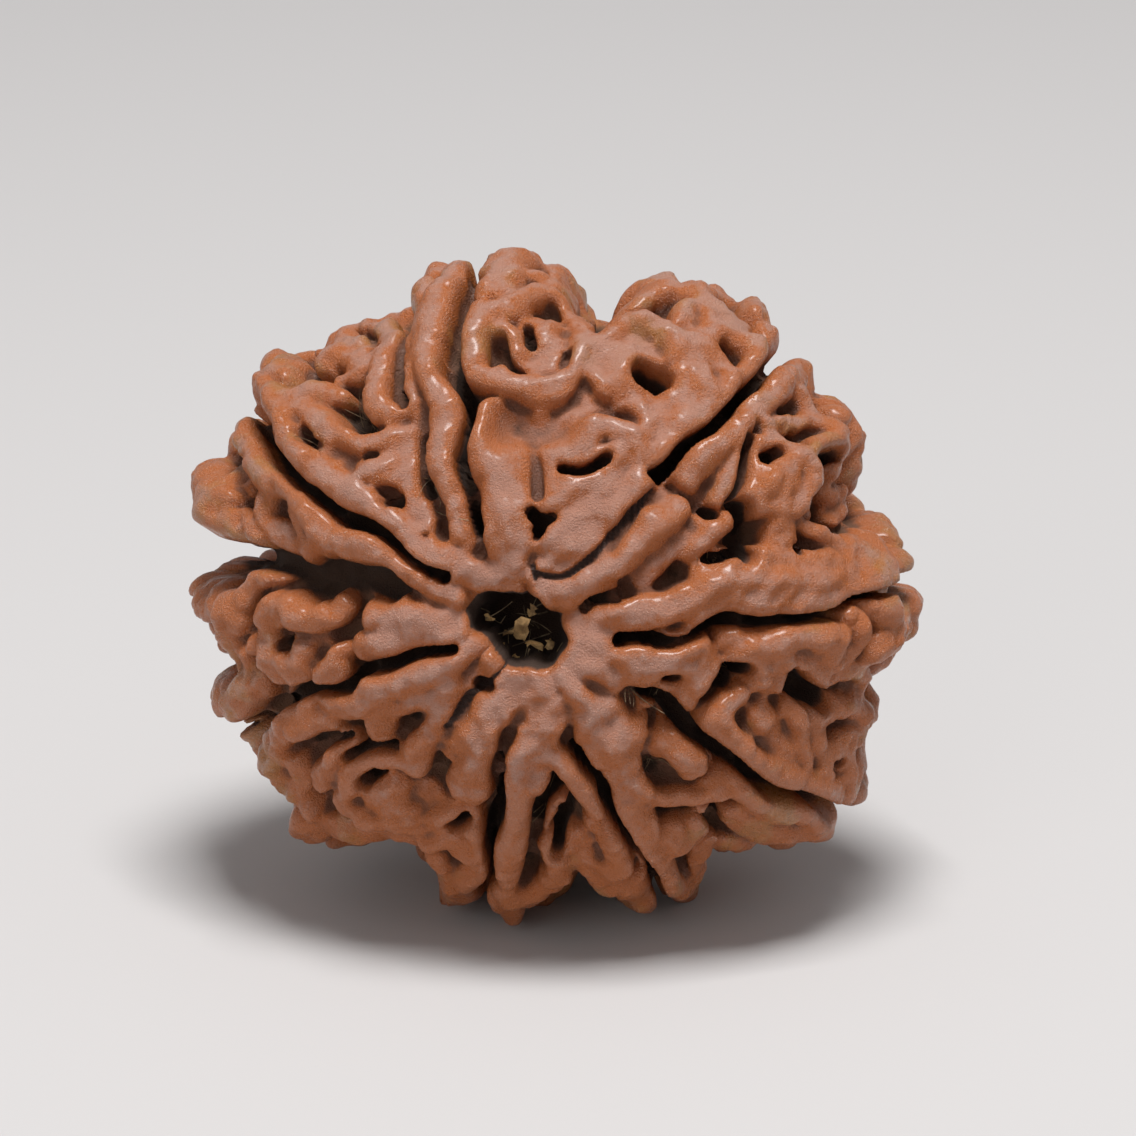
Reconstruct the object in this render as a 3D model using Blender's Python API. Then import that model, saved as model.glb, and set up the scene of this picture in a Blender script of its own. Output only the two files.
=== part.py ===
"""One rudraksha bead: a seed stone that grew as one piece, standing on its rim with the holed face forward.

The whole surface is one closed skin. Its height over a plain ellipsoid is raised by a formula: every ridge
is a round rope that follows a route, every groove and pit is a cut that follows a route, and the parts that
lie close together flow into one another. Routes are given in degrees round the hole's axis and degrees away
from it. The front was laid out by hand. The back follows a seeded rule with the same kinds of ridge.
"""

import math
import random

import bmesh
import bpy
import numpy as np
from mathutils import Vector

# Sizes in millimetres
HALF_WIDE = 13.1
HALF_HIGH = 12.3
HALF_THICK = 9.0
FLOOR_DROP = 2.2
FLOOR_DROP_AT_POLE = 1.3
HOLE_DROP = 4.4
BACK_HOLE_DROP = 3.6
STAND_HEIGHT = 11.38
NARROWEST_CUT = 0.7

# Angles in degrees
BACK_HOLE_EDGE = 5.6
VIEW_DOWN = 20.0
HOLE_LEFT = -0.097
HOLE_DOWN = -0.165

# How the forms meet, per millimetre and as plain numbers
BLEND = 10.0
CUT_BLEND = 8.0
FLANK_SLOPE = 4.2
FLANK_FROM = 0.93
WOBBLE = 0.14
RIM_SHARE = 0.85
RIB_SHARE = 0.88
SEED = 108

# Mesh
SPHERE_LEVEL = 7
TRIANGLES = 11600

# Ridges: full width, then a route of degrees round, degrees from the hole, drop below the crest
RIDGES = {
    "petal_north": (1.9, [(100, 37, 0.2), (101, 32.5, 0), (101, 25.5, 0), (100.5, 18.5, 0),
        (100.5, 13.5, 0.1), (104, 10.5, 0.4)]),
    "petal_north_shelf": (1.6, [(93.5, 30, 0.4), (92.5, 25, 0.3), (91.5, 20, 0.2), (91.5, 15, 0.2)]),
    "pole_ring": (1.4, [(83, 23, 0.3), (83.5, 27, 0.3), (81.5, 30.5, 0.2), (77.5, 32.5, 0.2), (74, 35, 0.1),
        (69, 37.5, 0.1), (64, 37, 0.1), (58.5, 35, 0.1), (55.5, 31, 0.1), (55, 26, 0.1), (55.5, 21, 0.1),
        (58, 17, 0.1), (64.5, 13.5, 0.2)]),
    "pole_ring_face": (2.6, [(78, 22.5, 0.2), (73, 25.5, 0.2), (66, 27.5, 0.1), (64, 30.5, 0.1)]),
    "pole_ring_slope": (2.4, [(70, 15.5, 0.2), (67, 19.5, 0.15), (64, 22.5, 0.1)]),
    "ring_spur": (0.6, [(76, 33.5, 0.3), (75.5, 35.5, 0.5)]),
    "lip_finger": (1.5, [(61.5, 8, 0.4), (45, 10.5, 0.2), (40.5, 15, 0.1), (38.5, 19.5, 0), (40, 24, 0),
        (41.5, 27.5, 0), (43, 31, 0.3)]),
    "lip_shelf": (1.6, [(27, 19.5, 0.6), (30.5, 24, 0.5), (33.5, 28, 0.6)]),
    "collar": (0.8, [(38.5, 8, 0.4), (38, 9.5, 0.3), (35.5, 12.5, 0.3), (30.5, 16, 0.4)]),
    "east_rim": (1.7, [(12, 8, 0.5), (12, 11.5, 0.2), (11, 18, 0.05), (11, 24, 0), (13, 30.5, 0),
        (13.5, 35.5, 0), (11, 41, 0), (9.5, 48, 0), (8, 54, 0.1), (8, 58, 0.2)]),
    "east_rim_top": (1.4, [(19.5, 28.5, 0.4), (20, 34, 0.2), (17.5, 37.5, 0.2), (15, 42.5, 0.2),
        (13, 50, 0.2), (12, 55.5, 0.3)]),
    "east_rim_end": (2.4, [(8.5, 57.5, 0.3), (10.5, 63, 0.3), (11.5, 69.5, 0.2), (8.5, 71.5, 0.1),
        (6.5, 65.5, 0.2)]),
    "east_rim_tip": (1.3, [(8, 74, 0.4), (7, 86, 0.3), (7, 96, 0.6)]),
    "east_rim_lower": (1.3, [(6, 27, 0.2), (8.5, 33.5, 0.1), (6.5, 41.5, 0.1), (4, 50.5, 0.1),
        (5, 56.5, 0.2), (6, 66, 0.3)]),
    "gull_crest": (1.4, [(359, 8, 0.4), (350, 12.5, 0.1), (347, 15.5, 0), (349, 19.5, 0), (352.5, 23, 0),
        (356, 27, 0), (352, 29, 0.2)]),
    "gull_petal": (1.9, [(335.5, 8, 0.4), (331.5, 11.5, 0.1), (333.5, 15.5, 0.1), (334.5, 19.5, 0.2),
        (331.5, 22, 0.4)]),
    "gull_end": (1.5, [(350.5, 29, 0.2), (345, 28, 0.3), (338.5, 27.5, 0.3), (334, 28, 0.5)]),
    "gull_face": (1.8, [(342, 18.5, 0.1), (346, 23, 0.1), (348.5, 26, 0.1)]),
    "fan_petal": (1.9, [(311.5, 8, 0.4), (308.5, 12, 0.1), (308.5, 16, 0), (309.5, 20.5, 0),
        (311.5, 24.5, 0.1)]),
    "fan_petal_side": (1.9, [(307.5, 16, 0.1), (304, 21, 0.1), (301.5, 26, 0.1), (299.5, 30, 0.3)]),
    "fan_web": (1.6, [(309, 23.5, 0.1), (303.5, 27, 0.2)]),
    "south_petal": (2.4, [(283.5, 8, 0.3), (280, 12, 0.1), (275.5, 17, 0), (273.5, 20.5, 0)]),
    "south_ridge": (1.3, [(270.5, 18.5, 0), (267, 24.5, 0), (266, 30.5, 0), (265.5, 37, 0), (265, 45, 0.1),
        (264, 55, 0.1), (264, 72, 0.1), (264, 80, 0.5)]),
    "south_ridge_side": (1.4, [(275.5, 22.5, 0.1), (271, 26, 0.2)]),
    "south_ridge_foot": (1.5, [(264, 58, 0.2), (267.5, 59.5, 0.2), (272.5, 54, 0.3), (275, 47.5, 0.4),
        (274.5, 42, 0.6)]),
    "south_finger": (1.3, [(281, 20, 0), (284.5, 23.5, 0), (286.5, 28, 0), (288, 31.5, 0),
        (288.5, 34.5, 0.3)]),
    "south_twig": (0.4, [(279, 30, 0.8), (276.5, 32.5, 1), (274.5, 35.5, 1.2)]),
    "crack_petal": (2, [(259, 7.5, 0.3), (249.5, 12, 0.1), (246.5, 16.5, 0), (247.5, 21, 0), (250, 25, 0.1),
        (251, 30, 0.4)]),
    "crack_petal_edge": (1.4, [(242, 18, 0.2), (240, 21.5, 0.2), (241, 24, 0.4)]),
    "crack_tooth": (0.9, [(253, 34.5, 0.6), (254.5, 37.5, 0.5), (256.5, 40, 0.5)]),
    "leaf_petal": (1.6, [(195, 8, 0.4), (206, 12, 0.1), (208.5, 17.5, 0), (206.5, 23, 0), (205, 28, 0),
        (204.5, 32.5, 0.2), (204, 36.5, 0.4)]),
    "leaf_flank": (1.8, [(220.5, 16, 0.3), (215.5, 21, 0.35), (213, 26, 0.4), (218, 29.5, 0.5),
        (222, 31, 0.6)]),
    "leaf_finger": (1.2, [(219.5, 14.5, 0.3), (226.5, 19, 0.3), (229, 23.5, 0.3), (231, 27.5, 0.3),
        (233, 31, 0.4)]),
    "wedge_petal": (1.6, [(173.5, 10.5, 0.4), (174, 15.5, 0.2), (174, 20, 0.1), (176, 24, 0.2)]),
    "wedge_petal_edge": (1.7, [(181.5, 11.5, 0.4), (184, 17.5, 0.1), (186.5, 22.5, 0.1), (188, 25, 0.3)]),
    "west_rim": (1.4, [(152, 12.5, 0.4), (152.5, 17.5, 0.2), (152.5, 22, 0.1), (153, 26.5, 0), (153, 32, 0),
        (154, 37, 0), (153, 42.5, 0), (152, 48.5, 0), (152.5, 54.5, 0.1), (152, 60.5, 0.1),
        (150.5, 68, 0.1), (149, 73.5, 0.2), (146, 73, 0.3), (150, 80, 0.3), (152, 95, 0.6)]),
    "west_rim_side": (1.5, [(147.5, 63, 0.4), (150, 58.5, 0.4)]),
    "west_rim_apron": (1.5, [(156, 53, 0.4), (159.5, 51, 0.6), (160, 44.5, 0.7), (159.5, 38, 0.7)]),
    "west_apron_fold": (1.1, [(154.5, 45, 0.4), (157, 40.5, 0.5), (157, 35, 0.5)]),
    "far_west_lump": (2.4, [(155, 60, 0.8), (159.5, 69, 0.2), (164, 76.5, 0), (165.5, 66, 0.1),
        (164, 55, 0.6)]),
    "far_west_over": (2.2, [(163.5, 73, 0.1), (161, 90, 0), (162, 99, 0.2)]),
    "bar_knob": (1.4, [(181.5, 46, 0.2), (179, 42.5, 0.1), (179.5, 37.5, 0.1), (179.5, 33, 0.2),
        (176, 31, 0.5)]),
    "bar_knob_lower": (1.8, [(185.5, 46.5, 0.3), (189.5, 47, 0.2), (193, 45, 0.1), (194.5, 41, 0.2),
        (190.5, 38.5, 0.3)]),
    "bar_floor": (1.6, [(186, 38, 0.7), (186, 32, 0.8)]),
    "thumb": (1.2, [(189, 28.5, 0.6), (190, 31, 0.3), (193.5, 33, 0.2), (196.5, 35, 0.3)]),
    "west_limb_upper": (1.5, [(171.5, 45.5, 0.6), (174.5, 50, 0.5), (179, 56.5, 0.3), (179.5, 64, 0.4),
        (181, 88, 0.4), (182, 96, 0.8)]),
    "west_limb_middle": (2.2, [(182, 58, 0.3), (186.5, 60.5, 0.3), (190.5, 54.5, 0.5)]),
    "west_limb_bud": (0.8, [(185.5, 50, 0.5), (187, 50, 0.5)]),
    "west_limb_lower": (1.9, [(195.5, 51, 0.6), (197, 58, 0.3), (199, 64, 0.3), (199, 82, 0.4),
        (201, 94, 0.8)]),
    "southwest_bank": (1.8, [(207.5, 39, 0.4), (206.5, 45.5, 0.2), (209, 54, 0.2), (212.5, 62, 0.2),
        (217.5, 63.5, 0.3), (222, 60, 0.4)]),
    "southwest_rim": (1.8, [(208, 74, 0.4), (207, 82, 0.3), (208, 94, 0.7)]),
    "southwest_apron": (2, [(215.5, 53.5, 0.5), (218.5, 58.5, 0.4)]),
    "southwest_finger": (1.1, [(216.5, 37.5, 0.5), (217.5, 41, 0.3), (219, 46, 0.2), (220.5, 50.5, 0.4)]),
    "saddle_ring": (1.5, [(229, 30.5, 0.5), (225, 35, 0.3), (224, 41.5, 0.2), (225, 47.5, 0.2),
        (229, 50, 0.1), (234, 49, 0.1), (238, 46.5, 0.1), (243, 43.5, 0.3), (247, 38.5, 0.5),
        (250, 34.5, 0.6)]),
    "saddle_face": (2, [(233, 39, 0.3), (233.5, 43.5, 0.2), (238, 42, 0.3)]),
    "saddle_floor": (2, [(237.5, 34, 1), (243.5, 34, 1)]),
    "southwest_underside": (2.2, [(227.5, 61, 0.8), (232.5, 58, 0.5), (237.5, 53.5, 0.5),
        (242, 47.5, 0.6)]),
    "southwest_under_rim": (2, [(226, 74, 0.5), (228, 82, 0.4), (228, 94, 0.7)]),
    "south_knob": (1.5, [(247.5, 46, 0.4), (251.5, 43, 0.4), (254.5, 46, 0.4)]),
    "south_bank": (1.6, [(257.5, 42, 0.5), (257.5, 48, 0.4), (256.5, 55.5, 0.3), (256.5, 64.5, 0.4),
        (254, 74, 0.6), (255, 90, 0.9)]),
    "south_bank_left": (1.6, [(249, 49.5, 0.5), (252, 56.5, 0.4), (255, 63, 0.4)]),
    "northwest_rim": (1.5, [(119.5, 9, 0.5), (133, 12, 0.2), (138, 16.5, 0.1), (141, 22, 0), (142, 28.5, 0),
        (143, 35, 0), (143.5, 41.5, 0), (144, 47.5, 0), (143.5, 55, 0), (142.5, 62.5, 0), (142.5, 72.5, 0),
        (142.5, 84, 0.1), (139, 80.5, 0.2), (135.5, 77.5, 0.3), (138, 84, 0.3), (139, 95, 0.6)]),
    "sausage": (1.3, [(141.5, 70.5, 0.3), (138, 68, 0.2), (134, 62, 0.2), (132, 56.5, 0.3)]),
    "northwest_fill": (1.8, [(139.5, 64, 0.35), (137, 60, 0.4)]),
    "cross_band": (1.2, [(139, 62, 0.4), (137, 56, 0.3), (136, 51.5, 0.3), (135.5, 47, 0.3), (133, 43, 0.3),
        (127.5, 40.5, 0.4), (123, 38.5, 0.5)]),
    "band_floor": (1.6, [(139, 45, 0.5), (136.5, 41, 0.6)]),
    "knob_lower": (1.8, [(143, 37.5, 0.2), (138, 38, 0.3), (131, 36, 0.3)]),
    "knob_rise": (1.6, [(125.5, 36, 0.5), (126.5, 32, 0.5)]),
    "northwest_floor": (1.8, [(127.5, 30, 0.6), (131.5, 26.5, 0.5), (138.5, 23.5, 0.3)]),
    "crown_knob": (1.9, [(129, 68.5, 0.4), (126.5, 69.5, 0.3), (124, 64, 0.4), (126, 82, 0.4),
        (127, 94, 0.7)]),
    "crown_knob_lower": (1.4, [(128.5, 60, 0.6), (125.5, 59.5, 0.5), (122.5, 61.5, 0.5)]),
    "hook": (1.3, [(117, 63.5, 0.4), (120.5, 58, 0.4), (123.5, 53, 0.4), (124, 48, 0.4), (122, 44, 0.5),
        (119.5, 42.5, 0.7)]),
    "hook_over": (1.4, [(117.5, 64.5, 0.4), (119, 84, 0.5), (119, 95, 0.8)]),
    "long_ridge": (1.5, [(124, 16.5, 0.4), (120.5, 21.5, 0), (117.5, 27, 0), (115, 32, 0), (113, 37.5, 0),
        (111.5, 43.5, 0), (111.5, 50, 0), (111.5, 57, 0), (109, 66, 0), (107, 74.5, 0.1), (105.5, 84, 0.2),
        (106, 92, 0.3), (106, 99, 0.6)]),
    "long_ridge_flank": (1.3, [(117.5, 37, 0.8), (117.5, 42.5, 0.5), (115.5, 51, 0.4), (113.5, 59, 0.3),
        (110.5, 69, 0.3), (111, 84, 0.3), (111, 95, 0.7)]),
    "twin_ring": (1.3, [(93.5, 65, 0.1), (96.5, 63.5, 0.1), (99.5, 62, 0.1), (101.5, 57, 0.1),
        (102, 50.5, 0.1), (100, 45, 0.2), (94.5, 43, 0.2), (89, 41.5, 0.3), (83.5, 42.5, 0.3),
        (81, 46.5, 0.3), (80.5, 53, 0.2), (83, 60, 0.2), (86, 65.5, 0.1), (89.5, 68.5, 0.1),
        (93.5, 65, 0.1)]),
    "twin_ring_hook": (0.9, [(93.5, 65, 0.1), (91.5, 61.5, 0.3), (91, 57.5, 0.5), (92, 54, 0.7)]),
    "twin_ring_lip": (1.2, [(100, 51.5, 0.2), (96.5, 48.5, 0.2), (94, 45.5, 0.2), (90.5, 43.5, 0.3),
        (85.5, 43, 0.3), (82, 45, 0.3)]),
    "twin_ring_tongue": (0.6, [(98, 53.5, 0.5), (95, 51, 0.8), (92.5, 48.5, 1)]),
    "twin_ring_floor": (1.6, [(88.5, 47, 0.9), (86, 50, 0.8)]),
    "twin_ring_wall": (2, [(86.5, 63, 0.2), (84.5, 56, 0.4), (86.5, 53.5, 0.6)]),
    "twin_ring_back": (2.4, [(97, 70, 0.2), (96.5, 78, 0.2), (96, 92, 0.3), (97, 98, 0.6)]),
    "twin_ring_shoulder": (1.8, [(90.5, 74, 0.2), (86, 69.5, 0.2), (90, 88, 0.4), (91, 96, 0.8)]),
    "twin_ring_bud": (0.8, [(87.5, 40, 0.5), (87, 36.5, 0.7)]),
    "north_plateau": (2.4, [(93, 34, 1.1), (84, 32.5, 1.1), (75, 36, 1), (74, 41.5, 1)]),
    "side_knob": (0.8, [(78.5, 48.5, 0.5), (76, 45.5, 0.35), (74, 43, 0.5)]),
    "great_ring": (1.9, [(78.5, 51, 0.3), (77.5, 55.5, 0.1), (75.5, 60, 0.05), (71.5, 63.5, 0.05),
        (67, 62.5, 0.05), (62, 59, 0.1), (57.5, 55, 0.1), (54.5, 49.5, 0.1), (54, 43.5, 0.1),
        (55, 38, 0.2)]),
    "great_ring_outer": (1.5, [(63, 63, 0.3), (58.5, 62, 0.2), (53.5, 60, 0.2), (51.5, 54, 0.2),
        (51, 46.5, 0.2), (51.5, 40, 0.2), (53, 36, 0.4)]),
    "great_ring_slope": (1.8, [(76.5, 51, 0.4), (73.5, 47, 0.6), (70, 44, 0.8)]),
    "great_ring_inner": (1.5, [(62, 56, 0.3), (59.5, 51, 0.3), (60, 46.5, 0.4), (61, 42.5, 0.4)]),
    "pit_knob": (0.8, [(67.5, 44.5, 0.5), (64.5, 44.5, 0.5), (61.5, 43.5, 0.5)]),
    "ring_neck": (1.4, [(62.5, 41.5, 0.4), (58.5, 39, 0.3)]),
    "top_arch_bank": (1.4, [(62, 65.5, 0.5), (60, 72, 0.3), (55.5, 73.5, 0.3), (51.5, 71, 0.3),
        (51, 64.5, 0.3), (52, 59.5, 0.4)]),
    "top_arch": (1.5, [(77.5, 63.5, 0.5), (74.5, 70.5, 0.3), (71.5, 79, 0.2), (67, 82, 0.2),
        (62, 79.5, 0.2), (57, 77.5, 0.3)]),
    "top_arch_over": (2, [(66, 88, 0.2), (66, 96, 0.6)]),
    "top_arch_bar": (1.1, [(66, 74, 0.3), (65, 67, 0.4), (65, 63, 0.5)]),
    "top_arch_bar_right": (1.1, [(63, 77.5, 0.3), (61, 70.5, 0.4), (60, 64.5, 0.5)]),
    "top_arch_rim": (1.8, [(52, 84, 0.3), (53, 95, 0.6)]),
    "northeast_lobe": (1.5, [(46, 37, 0.4), (46, 41.5, 0.1), (46, 47, 0), (45.5, 52.5, 0.1)]),
    "northeast_tooth": (1.3, [(43, 49.5, 0.2), (40, 45, 0.3), (37.5, 42, 0.3), (36, 39, 0.5)]),
    "northeast_under": (2, [(42.5, 35, 1.1), (38, 36.5, 1.1)]),
    "northeast_bank": (1.6, [(46.5, 54.5, 0.2), (46.5, 59.5, 0.1), (46, 65.5, 0.1), (44.5, 71.5, 0.2),
        (44.5, 76, 0.4), (44, 86, 0.5), (44, 95, 0.8)]),
    "window_side": (1.1, [(44, 74, 0.3), (41, 70.5, 0.3), (39, 69.5, 0.3)]),
    "window_limb": (1.4, [(40.5, 59.5, 0.3), (38.5, 65.5, 0.3), (36, 71, 0.3), (33, 74, 0.3),
        (30, 72.5, 0.4), (28, 68.5, 0.6)]),
    "window_bar": (1, [(40.5, 56, 0.3), (36, 56.5, 0.3), (33.5, 59, 0.3), (32.5, 64.5, 0.4),
        (31.5, 70.5, 0.4)]),
    "window_rim": (1.7, [(35, 84, 0.4), (34, 95, 0.8)]),
    "stud_ring": (1.3, [(36, 44, 0.3), (38.5, 47, 0.3), (39.5, 51, 0.3), (36.5, 55.5, 0.2), (33, 58.5, 0.1),
        (29.5, 59, 0.1), (26.5, 55.5, 0.1), (26, 51.5, 0.1), (28, 47, 0.1), (31.5, 44.5, 0.2),
        (36, 44, 0.3)]),
    "stud_face": (2.2, [(32.5, 48.5, 0.1), (32, 52.5, 0.1), (29, 51.5, 0.1)]),
    "stud_link": (1.6, [(40, 53.5, 0.3), (43, 56, 0.3)]),
    "east_column": (1.7, [(27, 48.5, 0.3), (23, 46.5, 0.4), (18.5, 43.5, 0.5)]),
    "hook_finger": (1.1, [(27, 28, 0.6), (29, 31.5, 0.4), (30, 35, 0.4), (30, 38, 0.5)]),
    "hook_shoulder": (1, [(35, 32, 0.8), (33, 35, 0.7)]),
    "east_side_knob": (1.6, [(27.5, 64, 1), (24, 63, 0.8), (22, 67.5, 0.5), (20.5, 61, 0.9)]),
    "east_side_rim": (1.5, [(24, 82, 0.7), (24, 94, 1)]),
    "east_fold": (1.1, [(21.5, 50.5, 0.6), (18.5, 53.5, 0.5), (15, 57.5, 0.5)]),
    "lower_east_bank": (1.7, [(352.5, 31, 0.5), (354.5, 35, 0.2), (356, 40.5, 0.1), (356.5, 47.5, 0),
        (354.5, 54, 0.1)]),
    "lower_east_face": (1.7, [(350.5, 36, 0.4), (351, 43.5, 0.3), (349.5, 51, 0.3), (347, 54, 0.5)]),
    "lower_east_knob": (1.2, [(359, 57.5, 0.4), (356.5, 61.5, 0.2), (353.5, 61, 0.3), (352, 56.5, 0.3)]),
    "east_limb": (1.8, [(0.5, 65, 0.4), (358.5, 72.5, 0.3), (355.5, 76, 0.2), (353, 69.5, 0.3),
        (356, 92, 0.5)]),
    "lower_east_side": (1.7, [(349, 56.5, 0.5), (349.5, 63.5, 0.4), (346, 67, 0.4), (344, 63, 0.6),
        (342.5, 58, 0.8)]),
    "lower_east_rim": (1.7, [(349, 78, 0.4), (348, 94, 0.8)]),
    "pool_tooth": (1.2, [(342.5, 35, 1), (344.5, 39.5, 0.5), (344.5, 44.5, 0.5)]),
    "tide_shelf": (1.5, [(337.5, 53, 0.6), (341, 60.5, 0.5), (341, 68.5, 0.4), (337.5, 72, 0.4),
        (334.5, 68, 0.4), (333.5, 62.5, 0.5)]),
    "claw": (1.5, [(339, 36, 0.5), (333.5, 35.5, 0.2), (329, 38, 0.1), (327, 42.5, 0), (326, 48, 0),
        (326, 55, 0), (325, 64.5, 0.1), (324.5, 77.5, 0.2)]),
    "claw_face": (2, [(336.5, 42, 0.5), (332.5, 46.5, 0.5), (330, 51.5, 0.3)]),
    "claw_ridge": (1, [(340, 47, 0.6), (337, 50.5, 0.4), (332.5, 54, 0.3), (328, 60, 0.2)]),
    "claw_flat": (2, [(334.5, 57, 0.5), (329.5, 65, 0.3)]),
    "claw_rim": (1.6, [(333, 70.5, 0.4), (330.5, 78.5, 0.3), (325, 83, 0.3), (333, 84, 0.4),
        (333, 94, 0.8)]),
    "fan_bank_right": (1.5, [(318, 38.5, 0.4), (318, 43, 0.2), (318, 50, 0.1), (318, 58.5, 0.1),
        (318, 66, 0.2)]),
    "fan_bank_slope": (2, [(313.5, 53, 0.5), (313.5, 64, 0.4), (315, 75.5, 0.4)]),
    "fan_bank_rim": (1.8, [(319, 73, 0.3), (320, 74.5, 0.3), (318, 84, 0.3), (317, 94, 0.7)]),
    "fan_under": (1.8, [(306, 59, 0.6), (308, 64.5, 0.6), (308, 80, 0.6), (308, 92, 0.9)]),
    "thorn": (1.6, [(315, 28, 0.7), (317.5, 30, 0.3), (319, 33.5, 0.1), (318.5, 36.5, 0.4)]),
    "fan_bank": (1.5, [(298, 33, 0.3), (297, 39.5, 0.2), (295.5, 46.5, 0.1), (294.5, 55.5, 0.1),
        (294, 65.5, 0.2), (296, 70, 0.3), (300, 63.5, 0.3), (303.5, 56, 0.4)]),
    "fan_link_upper": (0.9, [(300.5, 32, 0.3), (302.5, 36.5, 0.3), (306.5, 39, 0.3), (311, 43, 0.3),
        (313, 48, 0.3)]),
    "fan_saddle": (1.5, [(300, 46.5, 0.3), (300.5, 51, 0.3), (305, 49.5, 0.4), (308.5, 47, 0.4)]),
    "southeast_bank": (1.5, [(287.5, 37.5, 0.6), (288.5, 43, 0.2), (287, 49, 0.1), (284, 52.5, 0.3)]),
    "southeast_left": (1.4, [(283, 40.5, 0.8), (281.5, 46.5, 0.5), (282.5, 52, 0.4)]),
    "southeast_arch": (1, [(275, 45.5, 0.5), (278.5, 47, 0.6), (281.5, 50, 0.5)]),
    "southeast_foot": (1.5, [(281.5, 51, 0.4), (283.5, 56.5, 0.3), (287.5, 58, 0.2), (288, 65.5, 0.3),
        (287, 73.5, 0.4), (284, 84, 0.6), (284, 94, 0.9)]),
    "crack_strip": (1.3, [(51, 11.5, 0.4), (45.5, 16, 0.5), (45, 20.5, 0.6), (46, 25.5, 0.7)]),
    "leaf_strip": (1.3, [(242, 9, 0.5), (239, 13.5, 0.7), (237.5, 18, 0.8), (239, 22.5, 1)]),
}
# Grooves: full width, depth, then a route of degrees round, degrees from the hole
GROOVES = {
    "east": (0.5, 3, [(357, 14), (357.5, 17.5), (357, 21.5), (360, 27), (2, 32.5), (2.5, 39), (1, 47),
        (1.5, 54), (3, 62.5), (3.5, 73), (4, 92)]),
    "north_east": (0.6, 3, [(53, 33.5), (51, 37), (49.5, 43.5), (50, 49.5), (49.5, 57), (49, 65),
        (48.5, 71.5)]),
    "north": (0.5, 3, [(112, 18), (112, 21.5), (110.5, 26.5), (108.5, 32), (107, 37), (106, 43),
        (105, 49.5), (104.5, 55.5)]),
    "north_rim": (0.4, 1.6, [(104.5, 55.5), (103.5, 61.5), (102, 70), (103, 92)]),
    "north_west": (0.6, 3, [(144, 15), (144.5, 19), (146, 23.5), (147, 28.5), (148, 34), (148.5, 38.5),
        (149, 43), (150, 48), (148.5, 53.5), (147.5, 60.5), (146.5, 67.5), (147, 92)]),
    "south_west": (0.55, 2.8, [(194, 12), (194.5, 16.5), (197, 22), (197, 27), (199, 31), (200, 36.5),
        (200, 43), (203.5, 52)]),
    "south_south_west": (0.45, 3, [(261, 23.5), (261.5, 28), (260.5, 32.5), (260.5, 39), (260.5, 45.5),
        (260.5, 54), (260, 60.5), (259, 84)]),
    "south_south_east": (0.5, 3, [(294, 22), (292.5, 25.5), (293, 30), (293, 35), (293, 40), (293, 47),
        (292.5, 55.5), (291, 68), (289, 84)]),
    "south_east": (0.5, 3, [(327.5, 26), (326.5, 30.5), (324.5, 34.5), (322, 39.5), (322, 46), (321.5, 51),
        (322.5, 58.5), (323, 69.5), (322.5, 74.5), (324, 84)]),
    "west_valley": (1.6, 2.1, [(163, 23), (164.5, 29), (167, 34.5), (169.5, 38.5), (168.5, 43),
        (168.5, 50.5), (172, 90)]),
    "north_east_rim": (0.5, 1.6, [(49, 67.5), (48.5, 71.5), (48, 90)]),
    "south_west_rim": (0.4, 1.5, [(202.5, 49.5), (205, 56.5), (206, 90)]),
    "top_notch": (1.6, 2, [(80, 76), (80, 92)]),
}
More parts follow.
